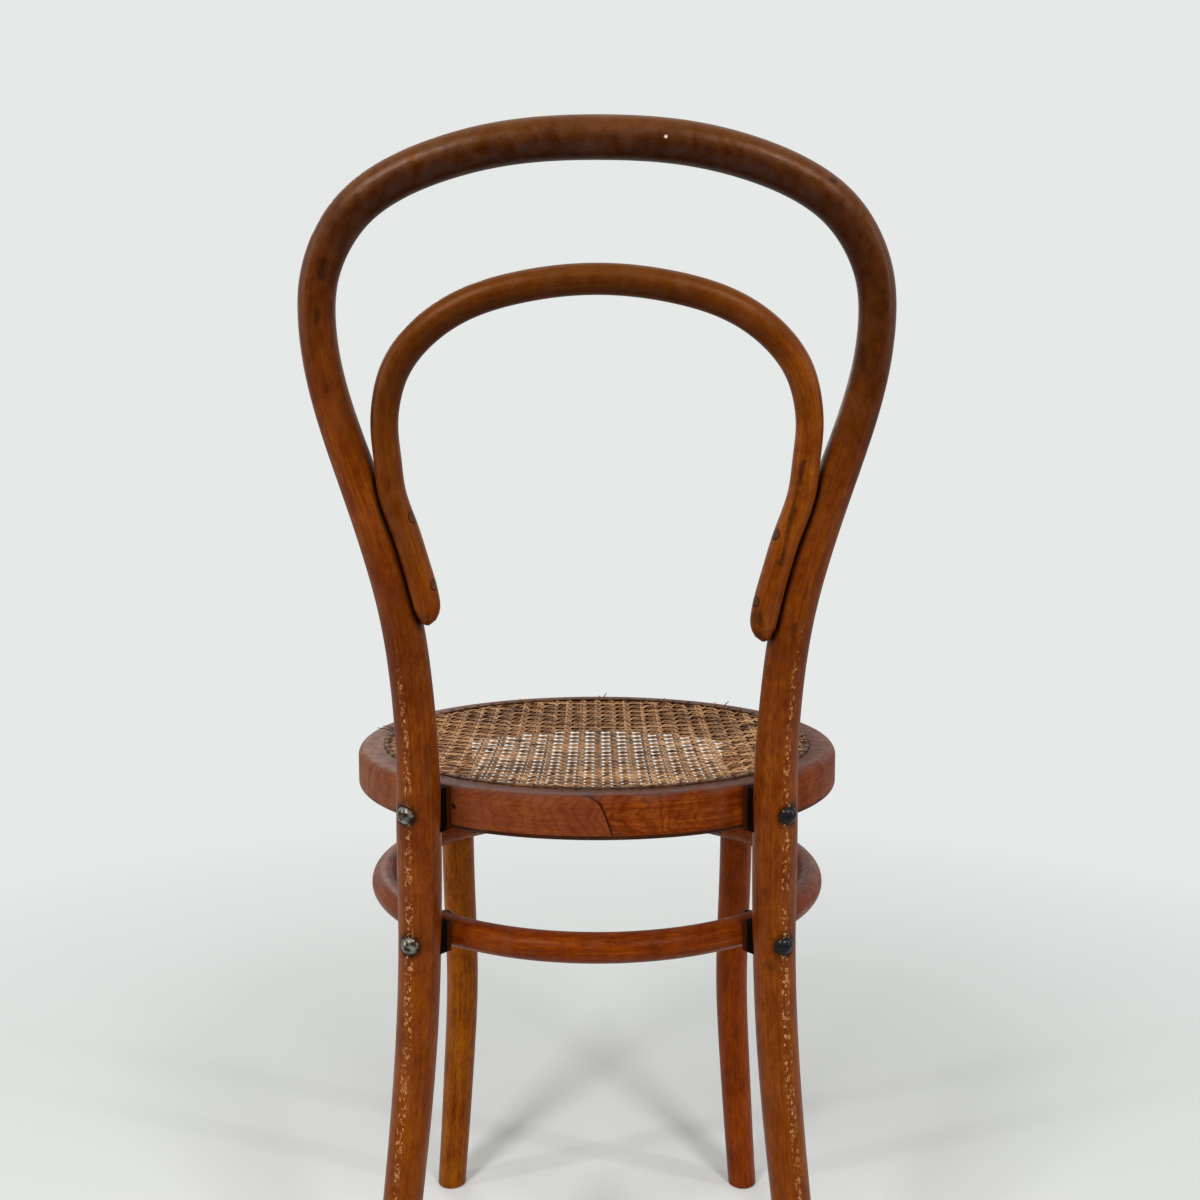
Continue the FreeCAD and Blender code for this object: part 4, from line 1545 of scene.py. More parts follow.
                # The last ring is as wide as the one before, and sunk in the loop.
                reach = radius * min(1.0, step / (last - 1))
                proud = self.plug_proud - self.plug_dome * (reach / radius) ** 4
                proud = -self.plug_sunk if step == last else proud
                ring = []
                for cosine, sine in around(self.plug_spokes):
                    start = centre + level * (reach * cosine) + Vector((0, 0, reach * sine))
                    hit = tree.ray_cast(start + axis * (self.outside * MM), -axis)[0]
                    vert = bm.verts.new(hit + axis * (proud * MM))
                    vert[grain] = (reach * cosine, reach * sine, self.plug_shift * MM * row)
                    ring.append(vert)
                rings.append(ring)
            skin(bm, rings)
        bmesh.ops.remove_doubles(bm, verts=bm.verts, dist=1e-6)
        return mesh_piece("loop_plug_caps", bm, self.plug_finish.make())

    def build(self, tree: Any) -> list[bpy.types.Object]:
        """Make the loop and its plugs.

        Args:
            tree: the bent rod's tree.

        Returns:
            The loop, and one piece with the plugs.
        """
        line = self.course().sampled(self.step * MM)
        line = [*reversed(self.nose(line[0], line[1])), *line, *self.nose(line[-1], line[-2])]
        loop = modifier_result(curve_maker([line]), tree, "bent_inner_loop",
                               {"Sides": self.sides, "Material": self.finish.make()})
        self.fit_to_hoop(loop)
        keep_creases(loop, self.crease)
        settle(loop, "loop_wood", "inner_loop")
        return [loop, settle(self.plugs(loop), "plug_wood", "loop_plugs")]


# Rings

@dataclass
class BentRing:
    """A ring bent round the seat's axis, planed flat where the rear legs' packers lie."""

    axis_y: float
    finish: ShellackedBeech
    radius: float
    flat_radius: float
    joint: tuple[float, float]
    steps: int
    crease: float = 35.0

    def turned(self, section: Sequence[tuple[float, float]]) -> bmesh.types.BMesh:
        """Turn the ring and plane its two flats.

        Args:
            section: radius and height of the section's corners in mm.

        Returns:
            The ring.
        """
        bm = revolved([(r * MM, z * MM) for r, z in section], self.axis_y, self.steps)
        centre = Vector((0, self.axis_y, 0))
        for side in Side:
            outward = Vector((self.joint[0] * side.value, self.joint[1], 0)).normalized()
            for vert in bm.verts:
                over = (vert.co - centre).dot(outward) - self.flat_radius * MM
                if over > 0:
                    vert.co -= outward * over
        return bm

    def settled(self, bm: bmesh.types.BMesh, slot: str, node: str) -> bpy.types.Object:
        """Settle the finished ring in place of the frame's node.

        Args:
            bm: the ring.
            slot: its material slot.
            node: the node.

        Returns:
            The piece.
        """
        piece = mesh_piece("bent_" + node, bm, self.finish.make())
        keep_creases(piece, self.crease)
        return settle(piece, slot, node)


@dataclass
class SeatRing(BentRing):
    """The round bent rail of the seat, with a rounded top, flats for the packers and a scarf."""

    radius: float = 195.5
    flat_radius: float = 193.5
    joint: tuple[float, float] = (124.0, 171.95)
    steps: int = 480
    width: float = 28.0
    top: float = 480.0
    depth: float = 31.0
    top_round: float = 7.0
    lower_round: float = 4.0
    inner_round: float = 3.0
    ledge: float = 7.5
    ledge_depth: float = 1.4
    # Corners on the straight stretches: up from the outer face's foot, in from the top's round,
    # up the inner face and out along the base
    outer_corners: tuple[float, ...] = (4.0, 8.0, 12.0, 16.0)
    top_corners: tuple[float, ...] = (3.4, 6.8, 10.2)
    inner_corners: tuple[float, ...] = (20.0, 11.0)
    base_corners: tuple[float, ...] = (12.0,)
    # The scarf's line: distance up the outer face and over the top, and X
    scarf: tuple[tuple[float, float], ...] = (
        (-8.0, -12.5), (0.0, -9.9), (11.0, -6.6), (22.0, -2.0),
        (31.0, 10.0), (40.0, 14.2), (49.0, 17.8), (59.0, 64.0),
    )

    def beside_scarf(self, way: float, along: float) -> float:
        """Signed distance from the scarf's line, positive at the chair's left.

        Args:
            way: distance round the section from the outer face's foot, in mm.
            along: X at the back of the ring, in mm.

        Returns:
            The distance in metres.
        """
        best, sign = math.inf, 1.0
        spot = Vector((way, along))
        for a, b in zip(self.scarf, self.scarf[1:]):
            start, run = Vector(a), Vector(b) - Vector(a)
            share = max(0.0, min(1.0, (spot - start).dot(run) / run.length_squared))
            off = spot - (start + run * share)
            if off.length < best:
                best = off.length
                sign = 1.0 if run.x * off.y - run.y * off.x > 0 else -1.0
        return best * sign * MM

    def profile(self) -> list[tuple[float, float]]:
        """The section's corners, from the outer face's foot up and over.

        Returns:
            Radius and height of each corner in mm.
        """
        inner, base = self.radius - self.width, self.top - self.depth
        rim, sill = inner + self.ledge, self.top - self.ledge_depth
        foot, shoulder = base + self.lower_round, self.top - self.top_round
        brow, heel = self.radius - self.top_round, base + self.inner_round
        return [
            (self.radius, foot),
            *[(self.radius, foot + up) for up in self.outer_corners],
            *fillet((brow, shoulder), self.top_round, 0, 90, 8),
            *[(brow - over, self.top) for over in self.top_corners],
            (rim, self.top), (rim, sill), (inner, sill),
            *[(inner, base + up) for up in self.inner_corners],
            *fillet((inner + self.inner_round, heel), self.inner_round, 180, 270, 4),
            *[(inner + out, base) for out in self.base_corners],
            *fillet((self.radius - self.lower_round, foot), self.lower_round, 270, 350, 5),
        ]

    def build(self) -> bpy.types.Object:
        """Make the ring, with its distance from the scarf's line stored on it.

        Returns:
            The piece.
        """
        bm = self.turned(self.profile())
        scarf = bm.verts.layers.float.new("scarf")
        way, grain = bm.verts.layers.float["round"], bm.verts.layers.float_vector["grain"]
        for vert in bm.verts:
            vert[scarf] = self.beside_scarf(vert[way] / MM, vert[grain].z / MM)
        return self.settled(bm, "seat_wood", "seat_ring")


@dataclass
class LegRing(BentRing):
    """The round hoop that ties the four legs."""

    radius: float = 175.8
    flat_radius: float = 184.55
    joint: tuple[float, float] = (126.5, 158.58)
    steps: int = 320
    tube: float = 21.5
    height: float = 367.0
    sides: int = 36

    def build(self) -> bpy.types.Object:
        """Make the hoop.

        Returns:
            The piece.
        """
        half = self.tube / 2
        spokes = around(self.sides)
        section = [(self.radius + half * cosine, self.height + half * sine) for cosine, sine in spokes]
        return self.settled(self.turned(section), "ring_wood", "leg_ring")


# Cane

class Layer(Enum):
    """The layers of a six-way weave: turn in degrees, whether strands lie in pairs, diagonal lift."""

    LENGTHWAYS = (0.0, True, 0.0)
    CROSSWAYS = (90.0, True, 0.0)
    DIAGONAL_LEFT = (45.0, False, 1.0)
    DIAGONAL_RIGHT = (-45.0, False, -1.0)


# How far a weaver's hand leaves a strand out of place, in mm
HAND_WANDER = 0.35
# How many pitches a strand runs each side of the middle, its points and the corners round it
STRAND_REACH = 13.5
STRAND_POINTS = 271
STRAND_CORNERS = 6
# Points along the binding and along a stitch, and the corners round both
BINDING_POINTS = 240
STITCH_POINTS = 14
BINDING_CORNERS = 10
# A stitch's height over the binding and its own thickness, in thicknesses of the binding
STITCH_HEIGHT = 1.9
STITCH_THICKNESS = 0.35


def strand_spots(tree: Any, given: dict[str, Wire]) -> tuple[Wire, Wire, Wire]:
    """The starting points of a layer's strands, in a row along X.

    Args:
        tree: the cane layer's tree.
        given: the tree's inputs.

    Returns:
        The points, which strand of its pair each is, as -1 or 1, and each strand's own tone.
    """
    offset, seed = given["Pair Offset"], given["Seed"]
    per_line = offset.reckon("GREATER_THAN", 0.0) + 1.0
    count = given["Lines"] * per_line
    line = add(tree, "GeometryNodeMeshLine", {"Count": count, "Offset": (0.0, 0.0, 0.0)})
    index = add(tree, "GeometryNodeInputIndex")
    group = (index / per_line).reckon("FLOOR")
    parity = index.reckon("MODULO", per_line) * 2.0 - 1.0
    spread = (group - (given["Lines"] - 1.0) / 2.0) * given["Spacing"] + parity * offset
    reach = {"Min": (-HAND_WANDER * MM,) * 3, "Max": (HAND_WANDER * MM,) * 3, "Seed": seed}
    wander = add(tree, "FunctionNodeRandomValue", reach, data_type="FLOAT_VECTOR")
    spot = combined(tree, spread + wander.parts()[0])
    line = add(tree, "GeometryNodeSetPosition", {"Geometry": line, "Position": spot})
    points, parity = capture(line, parity, "FLOAT")
    bounds = {2: 0.0, 3: 1.0, "Seed": seed + 50.0}
    own = add(tree, "FunctionNodeRandomValue", bounds, 1, data_type="FLOAT")
    points, own = capture(points, own, "FLOAT")
    return points, parity, own


def strand_rise(tree: Any, given: dict[str, Wire], parity: Wire, x: Wire, y: Wire) -> Wire:
    """How high a strand lies, from the weave's over and under and from the seat's sag.

    Args:
        tree: the cane layer's tree.
        given: the tree's inputs.
        parity: which strand of its pair it is.
        x: the place across the strands.
        y: the place along them.

    Returns:
        The height as a vector.
    """
    pitch, turn, radius = given["Pitch"], given["Turn"], given["Radius"]
    # The pair's own lift: peaks at one pair offset each side of every crossing. A single strand's
    # offset is 0, so a hair is added to divide by.
    cell = y / pitch
    cell = cell - cell.reckon("ROUND")
    ratio = cell / ((given["Pair Offset"] + 1e-6) / pitch)
    bell = (ratio * ratio * -0.5 + 0.5).reckon("EXPONENT")
    pair = ratio * bell * parity * (given["Pair Lift"] * -1.0)
    # The diagonals' lift follows the chair's X, which is read after the layer is turned.
    chair_x = x * turn.reckon("COSINE") - y * turn.reckon("SINE")
    wave = (chair_x / pitch * FULL_TURN).reckon("COSINE")
    sag = given["Sag"] * ((x * x + y * y) / (radius * radius) - 1.0)
    return combined(tree, z=pair + wave * given["Diagonal Lift"] + sag)


def cane_tree() -> Any:
    """The tree of one layer of woven cane: parallel strands cut to the seat's round.

    Strands run along the layer's own Y and are then turned. Paired strands dip and rise where
    they cross the other pair; diagonals ride over one pair and under the other.

    Returns:
        The tree.
    """
    tree, given = new_tree("Cane layer", {
        "Lines": ("Int", 25), "Spacing": ("Float", 0.0136), "Pitch": ("Float", 0.0136),
        "Pair Offset": ("Float", 0.0013), "Pair Lift": ("Float", 0.0004),
        "Diagonal Lift": ("Float", 0.0), "Turn": ("Float", 0.0), "Radius": ("Float", 0.174),
        "Strand Width": ("Float", 0.0023), "Strand Thickness": ("Float", 0.0006),
        "Sag": ("Float", 0.002), "Seed": ("Int", 1), "Material": ("Material", None),
    })
    points, parity, own = strand_spots(tree, given)
    reach = given["Pitch"] * STRAND_REACH
    ends = {"Start": combined(tree, y=reach * -1.0), "End": combined(tree, y=reach)}
    strand = add(tree, "GeometryNodeCurvePrimitiveLine", ends)
    strand = add(tree, "GeometryNodeResampleCurve", {"Curve": strand, "Count": STRAND_POINTS})
    laid = add(tree, "GeometryNodeInstanceOnPoints", {"Points": points, "Instance": strand})
    laid = add(tree, "GeometryNodeRealizeInstances", {0: laid})
    x, y, _ = add(tree, "GeometryNodeInputPosition").parts()
    beyond = (x * x + y * y).reckon("GREATER_THAN", given["Radius"] * given["Radius"])
    cut = add(tree, "GeometryNodeDeleteGeometry", {0: laid, "Selection": beyond}, domain="POINT")
    rise = strand_rise(tree, given, parity, x, y)
    woven = add(tree, "GeometryNodeSetPosition", {"Geometry": cut, "Offset": rise})
    flat = add(tree, "GeometryNodeSetCurveNormal", {0: woven}, mode="Z_UP")
    swept = sweep(flat, oval(tree, STRAND_CORNERS, given["Strand Width"], given["Strand Thickness"]))
    toned = add(tree, "GeometryNodeStoreNamedAttribute",
                {"Geometry": swept, "Name": "tone", "Value": own}, data_type="FLOAT", domain="POINT")
    turn = combined(tree, z=given["Turn"])
    turned = add(tree, "GeometryNodeTransform", {"Geometry": toned, "Rotation": turn})
    close_tree(tree, turned, given["Material"])
    return tree


def binding_tree() -> Any:
    """The tree of the binding: a flat strand round the weave, under a row of stitches.

    Returns:
        The tree.
    """
    tree, given = new_tree("Cane binding", {
        "Radius": ("Float", 0.173), "Width": ("Float", 0.004), "Thickness": ("Float", 0.0013),
        "Stitches": ("Int", 72), "Stitch Width": ("Float", 0.0023), "Material": ("Material", None),
    })
    width, thickness, radius = given["Width"], given["Thickness"], given["Radius"]
    flat = add(tree, "GeometryNodeSetCurveNormal", {0: circle(tree, BINDING_POINTS, radius)}, mode="Z_UP")
    strip = sweep(flat, oval(tree, BINDING_CORNERS, width, thickness))
    # Each stitch is a small hoop of cane over the strip, thinner than the strip.
    upright = {"Geometry": circle(tree, STITCH_POINTS, 0.5), "Rotation": (math.pi / 2, 0.0, 0.0),
               "Scale": combined(tree, width + thickness, thickness * STITCH_HEIGHT, 1.0)}
    bow = add(tree, "GeometryNodeTransform", upright)
    section = oval(tree, BINDING_CORNERS, thickness * STITCH_THICKNESS, given["Stitch Width"])
    stitch = sweep(bow, section)
    centre = add(tree, "GeometryNodeInputPosition")
    facing = add(tree, "FunctionNodeAlignRotationToVector", {"Vector": centre}, axis="X", pivot_axis="Z")
    sewn = {"Points": circle(tree, given["Stitches"], radius), "Instance": stitch, "Rotation": facing}
    row = add(tree, "GeometryNodeInstanceOnPoints", sewn)
    both = add(tree, "GeometryNodeJoinGeometry", {0: strip})
    connect(tree, both.socket.node, {0: row})
    close_tree(tree, both, given["Material"])
    return tree


@dataclass
class CaneSeat:
    """The six-way woven seat, with the binding strand laid over its edge."""

    axis_y: float
    finish: AgedCane
    pitch: float = 13.6
    radius: float = 173.5
    middle_height: float = 479.2
    weave_top: float = 1.3
    strand_width: float = 2.25
    strand_thickness: float = 0.7
    pair_offset: float = 1.35
    pair_lift: float = 0.42
    diagonal_lift: float = 0.85
    sag: float = 10.0
    binding_radius: float = 173.0
    binding_width: float = 4.0
    binding_thickness: float = 1.3
    binding_height: float = 480.6
    stitch_spacing: float = 15.0
    # Loose ends: start and end from the seat's axis, and how high the end stands
    ends: tuple[tuple[tuple[float, float], tuple[float, float], float], ...] = (
        ((-5.8, -171.0), (-9.5, -176.0), 5.5), ((-4.0, -172.0), (-1.5, -178.0), 2.5),
        ((-118.0, -125.0), (-124.0, -128.0), 6.0), ((-111.0, -130.0), (-112.0, -137.0), 3.5),
        ((-62.0, -160.0), (-66.0, -166.0), 2.0), ((70.0, -157.0), (75.0, -164.0), 1.6),
        ((170.0, -22.0), (184.0, -31.0), 2.4), ((171.0, -26.0), (182.0, -39.0), 1.4),
        ((169.0, -18.0), (187.0, -20.0), 2.8), ((166.0, -30.0), (176.0, -46.0), 2.0),
        ((-138.0, -62.0), (-127.0, -50.0), 3.0), ((-141.0, -56.0), (-150.0, -42.0), 2.6),
        ((-150.0, -40.0), (-144.0, -26.0), 2.2), ((-166.0, 20.0), (-176.0, 30.0), 2.0),
        ((-163.0, 34.0), (-160.0, 50.0), 2.4), ((-158.0, 60.0), (-166.0, 64.0), 1.6),
        ((62.0, -18.0), (74.0, -10.0), 2.6), ((55.0, -8.0), (44.0, 2.0), 2.4),
        ((86.0, 16.0), (95.0, 30.0), 2.2), ((104.0, 96.0), (118.0, 104.0), 2.0),
        ((30.0, 168.0), (22.0, 176.0), 1.6), ((-42.0, 165.0), (-36.0, 174.0), 1.8),
    )
    end_steps: int = 8
    end_diameters: tuple[float, float] = (1.5, 0.5)
    # How steeply an end rises at first, and how much of that it has lost at its tip
    end_slopes: tuple[float, float] = (1.6, 0.6)

    def laid(self, piece: bpy.types.Object, height: float, node: str) -> bpy.types.Object:
        """Lay a finished piece on the seat's axis at a height, in place of a node."""
        piece.data.transform(Matrix.Translation(place(0, 0, height, self.axis_y)))
        return settle(piece, "cane", node)

    def layer(self, tree: Any, layer: Layer, material: bpy.types.Material, seed: int) -> bpy.types.Object:
        """Weave one layer.

        Args:
            tree: the cane layer's tree.
            layer: which layer it is.
            material: the cane.
            seed: what makes its strands wander their own way.

        Returns:
            The piece.
        """
        turn, paired, over = layer.value
        spacing = self.pitch if paired else self.pitch / math.sqrt(2)
        piece = modifier_result(empty_maker(), tree, "cane_" + layer.name.lower(), {
            "Lines": 2 * math.ceil(self.radius / spacing) + int(paired),
            "Spacing": spacing * MM, "Pitch": self.pitch * MM,
            "Pair Offset": self.pair_offset * MM * paired, "Pair Lift": self.pair_lift * MM * paired,
            "Diagonal Lift": over * self.diagonal_lift * MM, "Turn": math.radians(turn),
            "Radius": self.radius * MM, "Strand Width": self.strand_width * MM,
            "Strand Thickness": self.strand_thickness * MM, "Sag": self.sag * MM,
            "Seed": seed, "Material": material,
        })
        return self.laid(piece, self.middle_height, "cane_panel")

    def binding(self, material: bpy.types.Material) -> bpy.types.Object:
        """Lay the binding strand and its stitches.

        Args:
            material: the cane.

        Returns:
            The piece.
        """
        piece = modifier_result(empty_maker(), binding_tree(), "cane_binding_strand", {
            "Radius": self.binding_radius * MM, "Width": self.binding_width * MM,
            "Thickness": self.binding_thickness * MM, "Stitch Width": self.strand_width * MM,
            "Stitches": round(FULL_TURN * self.binding_radius / self.stitch_spacing),
            "Material": material,
        })
        return self.laid(piece, self.binding_height, "cane_binding")

    def surface_at(self, x: float, y: float) -> Vector:
        """A point on the sagging weave's top.

        Args:
            x: its place beside the seat's axis in mm.
            y: its place behind the seat's axis in mm.

        Returns:
            The point in the frame's axes.
        """
        share = min(1.0, (x * x + y * y) / self.radius ** 2)
        height = self.middle_height + self.weave_top - self.sag * (1.0 - share)
        return place(x, y, height, self.axis_y)

    def loose_ends(self, tree: Any, material: bpy.types.Material) -> bpy.types.Object:
        """Lay the broken and untrimmed ends of strands.

        Args:
            tree: the bent rod's tree.
            material: the cane.

        Returns:
            The piece.
        """
        thick, thin = self.end_diameters
        first, lost = self.end_slopes
        lines = []
        for start, end, lift in self.ends:
            a, b = self.surface_at(*start), self.surface_at(*end)
            line = []
            for step in range(self.end_steps + 1):
                t = step / self.end_steps
                rise = Vector((0, 0, lift * MM * t * (first - lost * t)))
                line.append(Station(a.lerp(b, t) + rise, (thick + (thin - thick) * t) * MM))
            lines.append(line)
        values = {"Sides": STRAND_CORNERS, "Material": material}
        piece = modifier_result(curve_maker(lines), tree, "cane_loose_ends", values)
        return settle(piece, "cane", "cane_panel")

    def build(self, rod: Any) -> list[bpy.types.Object]:
        """Weave the seat, bind its edge and lay the loose ends.

        Args:
            rod: the bent rod's tree, which the loose ends take.

        Returns:
            The pieces.
        """
        material, tree = self.finish.make(), cane_tree()
        pieces = [self.layer(tree, layer, material, seed) for seed, layer in enumerate(Layer, 1)]
        return [*pieces, self.binding(material), self.loose_ends(rod, material)]


# Bolts and carried-over nodes

@dataclass
class CoachBolts:
    """The domed heads of the two bolts on one side of the chair."""

    axis_y: float
    side: Side
    material: bpy.types.Material
    slot: str
    # Node, place on the leg's centre line, angle from straight back, leg diameter
    places: tuple[tuple[str, tuple[float, float, float], float, float], ...] = (
        ("seat_bolt_", (124.0, 171.95, 464.5), 30.0, 31.0),
        ("ring_bolt_", (126.5, 158.58, 367.0), 22.0, 30.6),
    )
    head: float = 14.4
    rise: float = 5.2
    sink: float = 1.8
    # The lip's inset and drop, and the shank's diameter and length
    lip: tuple[float, float] = (0.05, 0.25)
    shank: tuple[float, float] = (6.0, 52.0)
    dome_steps: int = 12
    steps: int = 48
    crease: float = 40.0
    # Dirt and painted shade round the heads: full up to one distance in mm, gone at the other
    grime_and_shade_full: float = 7.6
    grime_and_shade_none: float = 10.8

    def seats(self) -> list[tuple[Vector, Vector]]:
        """Where the two bolts sit.

        Returns:
            The point where each axis leaves its leg, and the axis's direction.
        """
        seats = []
        for _, (x, y, z), angle, leg in self.places:
            axis = level_way(angle, self.side)
            seats.append((place(x * self.side.value, y, z, self.axis_y) + axis * (leg / 2 * MM), axis))
        return seats

    def grime_and_shade(self) -> GrimeAndShade:
        """Dirt and painted shade round both heads."""
        return round_places([spot for spot, _ in self.seats()], self.grime_and_shade_full, self.grime_and_shade_none)

    def profile(self) -> list[tuple[float, float]]:
        """The outline of a head and its shank, from the top of the dome down.

        Returns:
            Radius and height of each corner in mm.
        """
        half, shank = self.head / 2, self.shank[0] / 2
        ball = (half ** 2 + self.rise ** 2) / (2 * self.rise)
        opening = math.asin(half / ball)
        turns = [opening * step / self.dome_steps for step in range(self.dome_steps + 1)]
        dome = [(ball * math.sin(turn), self.rise - ball + ball * math.cos(turn)) for turn in turns]
        under, end = -self.lip[1], -self.shank[1]
        return [*dome, (half - self.lip[0], under), (shank, under), (shank, end), (0.0, end)]

    def build(self) -> bpy.types.Object:
        """Make both heads and shanks.

        Returns:
            The piece.
        """
        bm = bmesh.new()
        for spot, axis in self.seats():
            level = Vector((-axis.y, axis.x, 0))
            rings = []
            for radius, out in self.profile():
                centre = spot + axis * ((out - self.sink) * MM)
                spokes = [level * cosine + Vector((0, 0, sine)) for cosine, sine in around(self.steps)]
                rings.append([bm.verts.new(centre + spoke * (radius * MM)) for spoke in spokes])
            skin(bm, rings)
        bmesh.ops.remove_doubles(bm, verts=bm.verts, dist=1e-7)
        piece = mesh_piece("coach_bolts_" + self.side.word, bm, self.material)
        keep_creases(piece, self.crease)
        return settle(piece, self.slot, *[node + self.side.word for node, *_ in self.places])


def dress_node(frame: dict, node: str, material: bpy.types.Material) -> None:
    """Give a node of the frame a better material."""
    for slot in frame["nodes"][node].material_slots:
        slot.material = material


def dress_side(frame: dict, side: Side, steel: bpy.types.Material, japanned: bpy.types.Material) -> None:
    """Dress one side's small parts, which stay as the frame has them.

    Args:
        frame: the frame.
        side: the side.
        steel: the steel of its washers and nuts.
        japanned: the steel of its front screw.
    """
    for node in ("seat_packer_" + side.word, "ring_packer_" + side.word):
        low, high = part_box(node)
        inner = min(abs(low.x), abs(high.x))
        dress_node(frame, node, BlackedWood("blacked_beech_" + node, inner=inner).make())
    dress_node(frame, "bolt_washers_" + side.word, steel)
    dress_node(frame, "bolt_nuts_" + side.word, steel)
    dress_node(frame, "front_screw_" + side.word, japanned)


# Studio

@dataclass(frozen=True)
class Lamp:
    """A soft lamp that faces the chair's back: its place, width, height and power in watts."""

    name: str
    spot: tuple[float, float, float]
    size: tuple[float, float]
    power: float

    def hang(self, target: Vector) -> None:
        """Hang the lamp.

        Args:
            target: the point that it is turned to.
        """
        data = bpy.data.lights.new(self.name, "AREA")
        data.shape, data.energy = "RECTANGLE", self.power
        data.size, data.size_y = self.size
        lamp = linked(self.name, data)
        lamp.location = self.spot
        lamp.rotation_euler = (target - Vector(self.spot)).to_track_quat("-Z", "Y").to_euler()


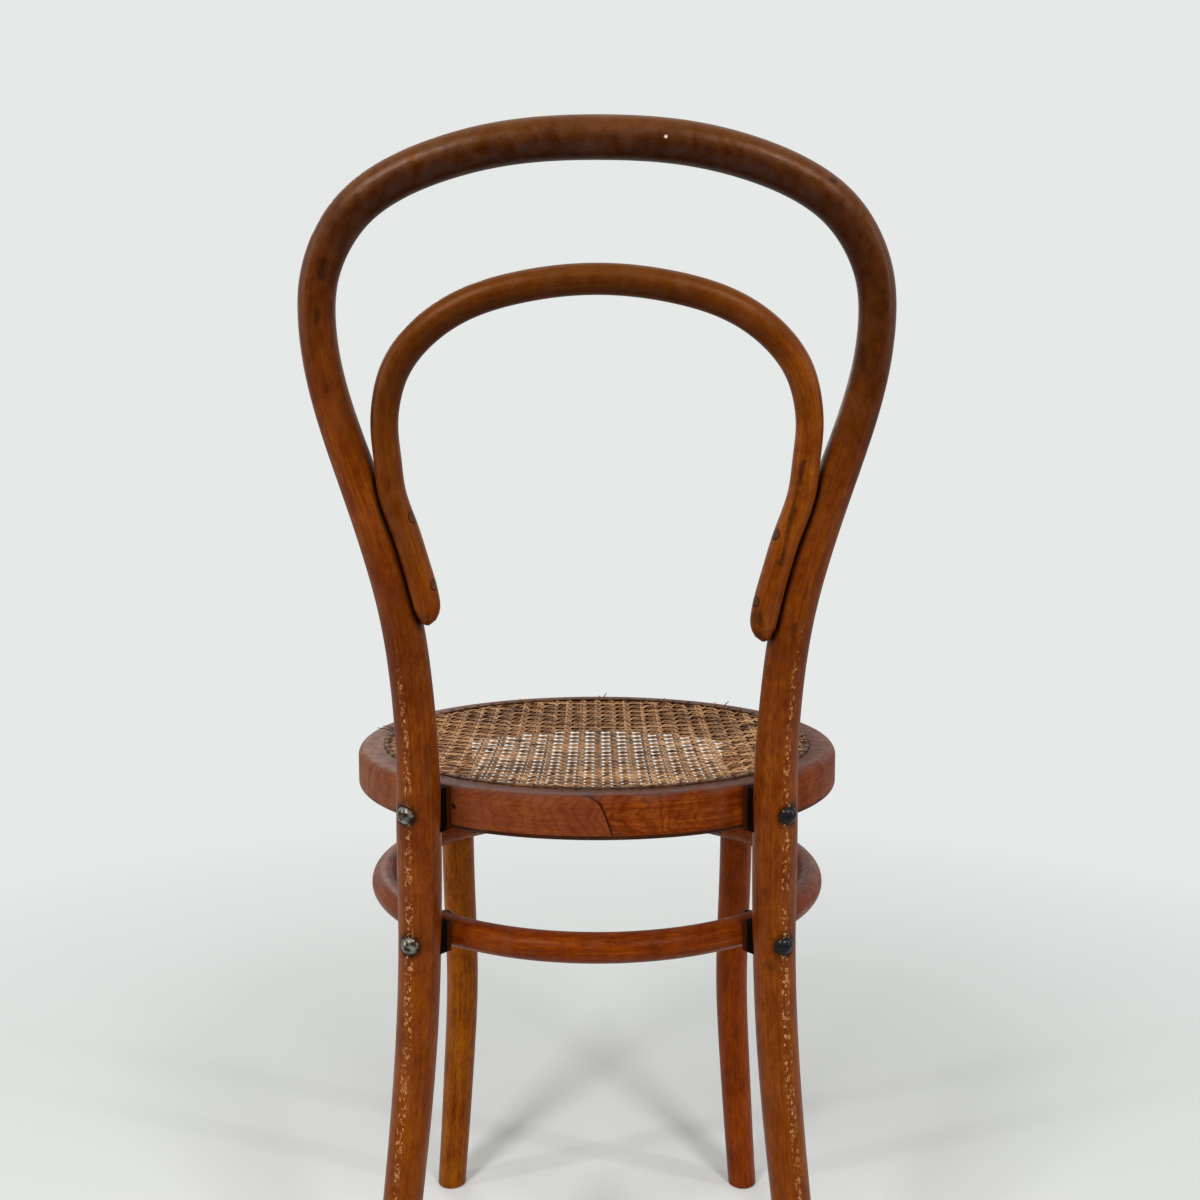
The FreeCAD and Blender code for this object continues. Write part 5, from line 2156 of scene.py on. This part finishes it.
@dataclass
class Studio:
    """A plain pale floor and backdrop, soft light and the photograph's camera."""

    axis_y: float
    # The camera: its distance behind the seat's axis, height, downward tilt in degrees, and its
    # focal length and film width in mm
    camera_behind: float = 0.999
    camera_height: float = 0.692
    pitch: float = 5.57
    lens: float = 36.45
    sensor: float = 36.0
    shift_x: float = 0.0025
    nearest: float = 0.05
    lit_height: float = 0.55
    fill: float = 0.28
    pale: str = "#e6e9e7"
    floor_colour: str = "#e3e5e2"
    floor_size: float = 8.0
    floor_height: float = -0.0005
    floor_fades: tuple[float, float] = (0.3, 1.5)
    lamps: tuple[Lamp, ...] = (
        Lamp("left_key", (1.05, 1.65, 1.95), (0.55, 0.55), 34.0),
        Lamp("right_key", (-0.95, 1.65, 1.95), (0.5, 0.5), 26.0),
        Lamp("front_fill", (0.9, -2.0, 1.7), (0.9, 0.9), 9.0),
        Lamp("left_window", (2.2, 0.62, 1.1), (0.12, 1.4), 11.0),
        Lamp("right_window", (-2.2, 0.62, 1.1), (0.1, 1.4), 11.0),
    )

    def camera(self) -> None:
        """Stand the camera where the photograph was taken."""
        data = bpy.data.cameras.new("camera")
        data.lens, data.sensor_width = self.lens, self.sensor
        data.shift_x, data.clip_start = self.shift_x, self.nearest
        camera = linked("camera", data)
        camera.location = (0, self.axis_y + self.camera_behind, self.camera_height)
        camera.rotation_euler = (math.radians(90 - self.pitch), 0, math.pi)
        bpy.context.scene.camera = camera

    def world(self) -> None:
        """Fill the room with even light, and show a plain pale colour where it is seen."""
        world = bpy.data.worlds.new("studio")
        bpy.context.scene.world = world
        world.use_nodes = True
        tree = world.node_tree
        tree.nodes.clear()
        fill = add(tree, "ShaderNodeBackground", {"Color": linear("#ffffff"), "Strength": self.fill})
        plain = add(tree, "ShaderNodeBackground", {"Color": linear(self.pale), "Strength": 1.0})
        camera, glossy, through = [add(tree, "ShaderNodeLightPath", output=f"Is {ray} Ray")
                                   for ray in ("Camera", "Glossy", "Transmission")]
        seen = camera.reckon("MAXIMUM", glossy.reckon("MAXIMUM", through))
        mixed = add(tree, "ShaderNodeMixShader", {0: seen, 1: fill, 2: plain})
        add(tree, "ShaderNodeOutputWorld", {0: mixed})

    def floor(self) -> None:
        """Lay the floor, which turns into the backdrop far from the chair."""
        bm = bmesh.new()
        bmesh.ops.create_grid(bm, x_segments=1, y_segments=1, size=self.floor_size)
        surface = Surface("pale_floor")
        surface.give({"Base Color": linear(self.floor_colour), "Roughness": 0.9, "Specular IOR Level": 0.1})
        tree = surface.tree
        glow = add(tree, "ShaderNodeEmission", {"Color": linear(self.pale), "Strength": 1.0})
        camera = add(tree, "ShaderNodeLightPath", output="Is Camera Ray")
        far = surface.place.length().between(*self.floor_fades) * camera
        body = Wire(tree, surface.shader.outputs[0])
        mixed = add(tree, "ShaderNodeMixShader", {0: far, 1: body, 2: glow})
        connect(tree, tree.nodes["Material Output"], {"Surface": mixed})
        floor = mesh_piece("floor", bm, surface.material)
        floor.location.z = self.floor_height

    def build(self) -> None:
        """Set the whole studio up."""
        bpy.context.scene.view_settings.view_transform = "Standard"
        self.camera()
        self.world()
        self.floor()
        for lamp in self.lamps:
            lamp.hang(Vector((0, self.axis_y, self.lit_height)))


def main() -> None:
    """Build the chair in order."""
    logging.basicConfig(level=logging.INFO, format="%(name)s: %(message)s")
    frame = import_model()
    low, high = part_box("seat_ring")
    axis_y = (low.y + high.y) / 2
    Studio(axis_y).build()

    rod = rod_tree()
    back = BackFrame(axis_y, HOOP_BEECH)
    hoop = back.build(rod)
    loop, plugs = InnerLoop(back, LOOP_BEECH, PLUG_BEECH).build(rod)
    seat_ring = SeatRing(axis_y, seat_beech(axis_y)).build()
    leg_ring = LegRing(axis_y, LEG_RING_BEECH).build()
    legs = [FrontLeg(axis_y, FRONT_LEG_BEECH[side], side=side).build(rod) for side in Side]
    cane = CaneSeat(axis_y, AgedCane("aged_rattan_cane")).build(rod)
    zinc, japanned = WornSteel("worn_zinc_steel").make(), BlackedSteel("black_japanned_steel").make()
    bolts = [CoachBolts(axis_y, Side.LEFT, zinc, "grey_steel"),
             CoachBolts(axis_y, Side.RIGHT, japanned, "black_steel")]

    # Painted shade darkens each piece where it meets another, and dirt with painted shade rings the bolt
    # heads.
    store_grime_and_shade(hoop, bolts[0].grime_and_shade(), bolts[1].grime_and_shade(), beside(loop, 0.9, 3.6),
          beside(seat_ring, 3.2, 6.0), beside(leg_ring, 3.2, 6.0))
    store_grime_and_shade(loop, beside(hoop, 0.5, 3.2))
    store_grime_and_shade(seat_ring, beside(hoop, 3.5, 8.0))
    store_grime_and_shade(leg_ring, beside(hoop, 3.5, 8.0), *[beside(leg, 0.4, 2.5) for leg in legs])
    for leg in legs:
        store_grime_and_shade(leg, beside(leg_ring, 0.4, 2.5), beside(seat_ring, 1.0, 6.0))
    for piece in (hoop, loop, plugs, seat_ring, leg_ring, *legs, *cane, *[pair.build() for pair in bolts]):
        LOG.info("%s: %d faces", piece.name, len(piece.data.polygons))

    dress_node(frame, "loop_screws", WornSteel("plain_steel_screw").make())
    dress_side(frame, Side.LEFT, zinc, japanned)
    dress_side(frame, Side.RIGHT, japanned, japanned)


if __name__ == "__main__":
    main()
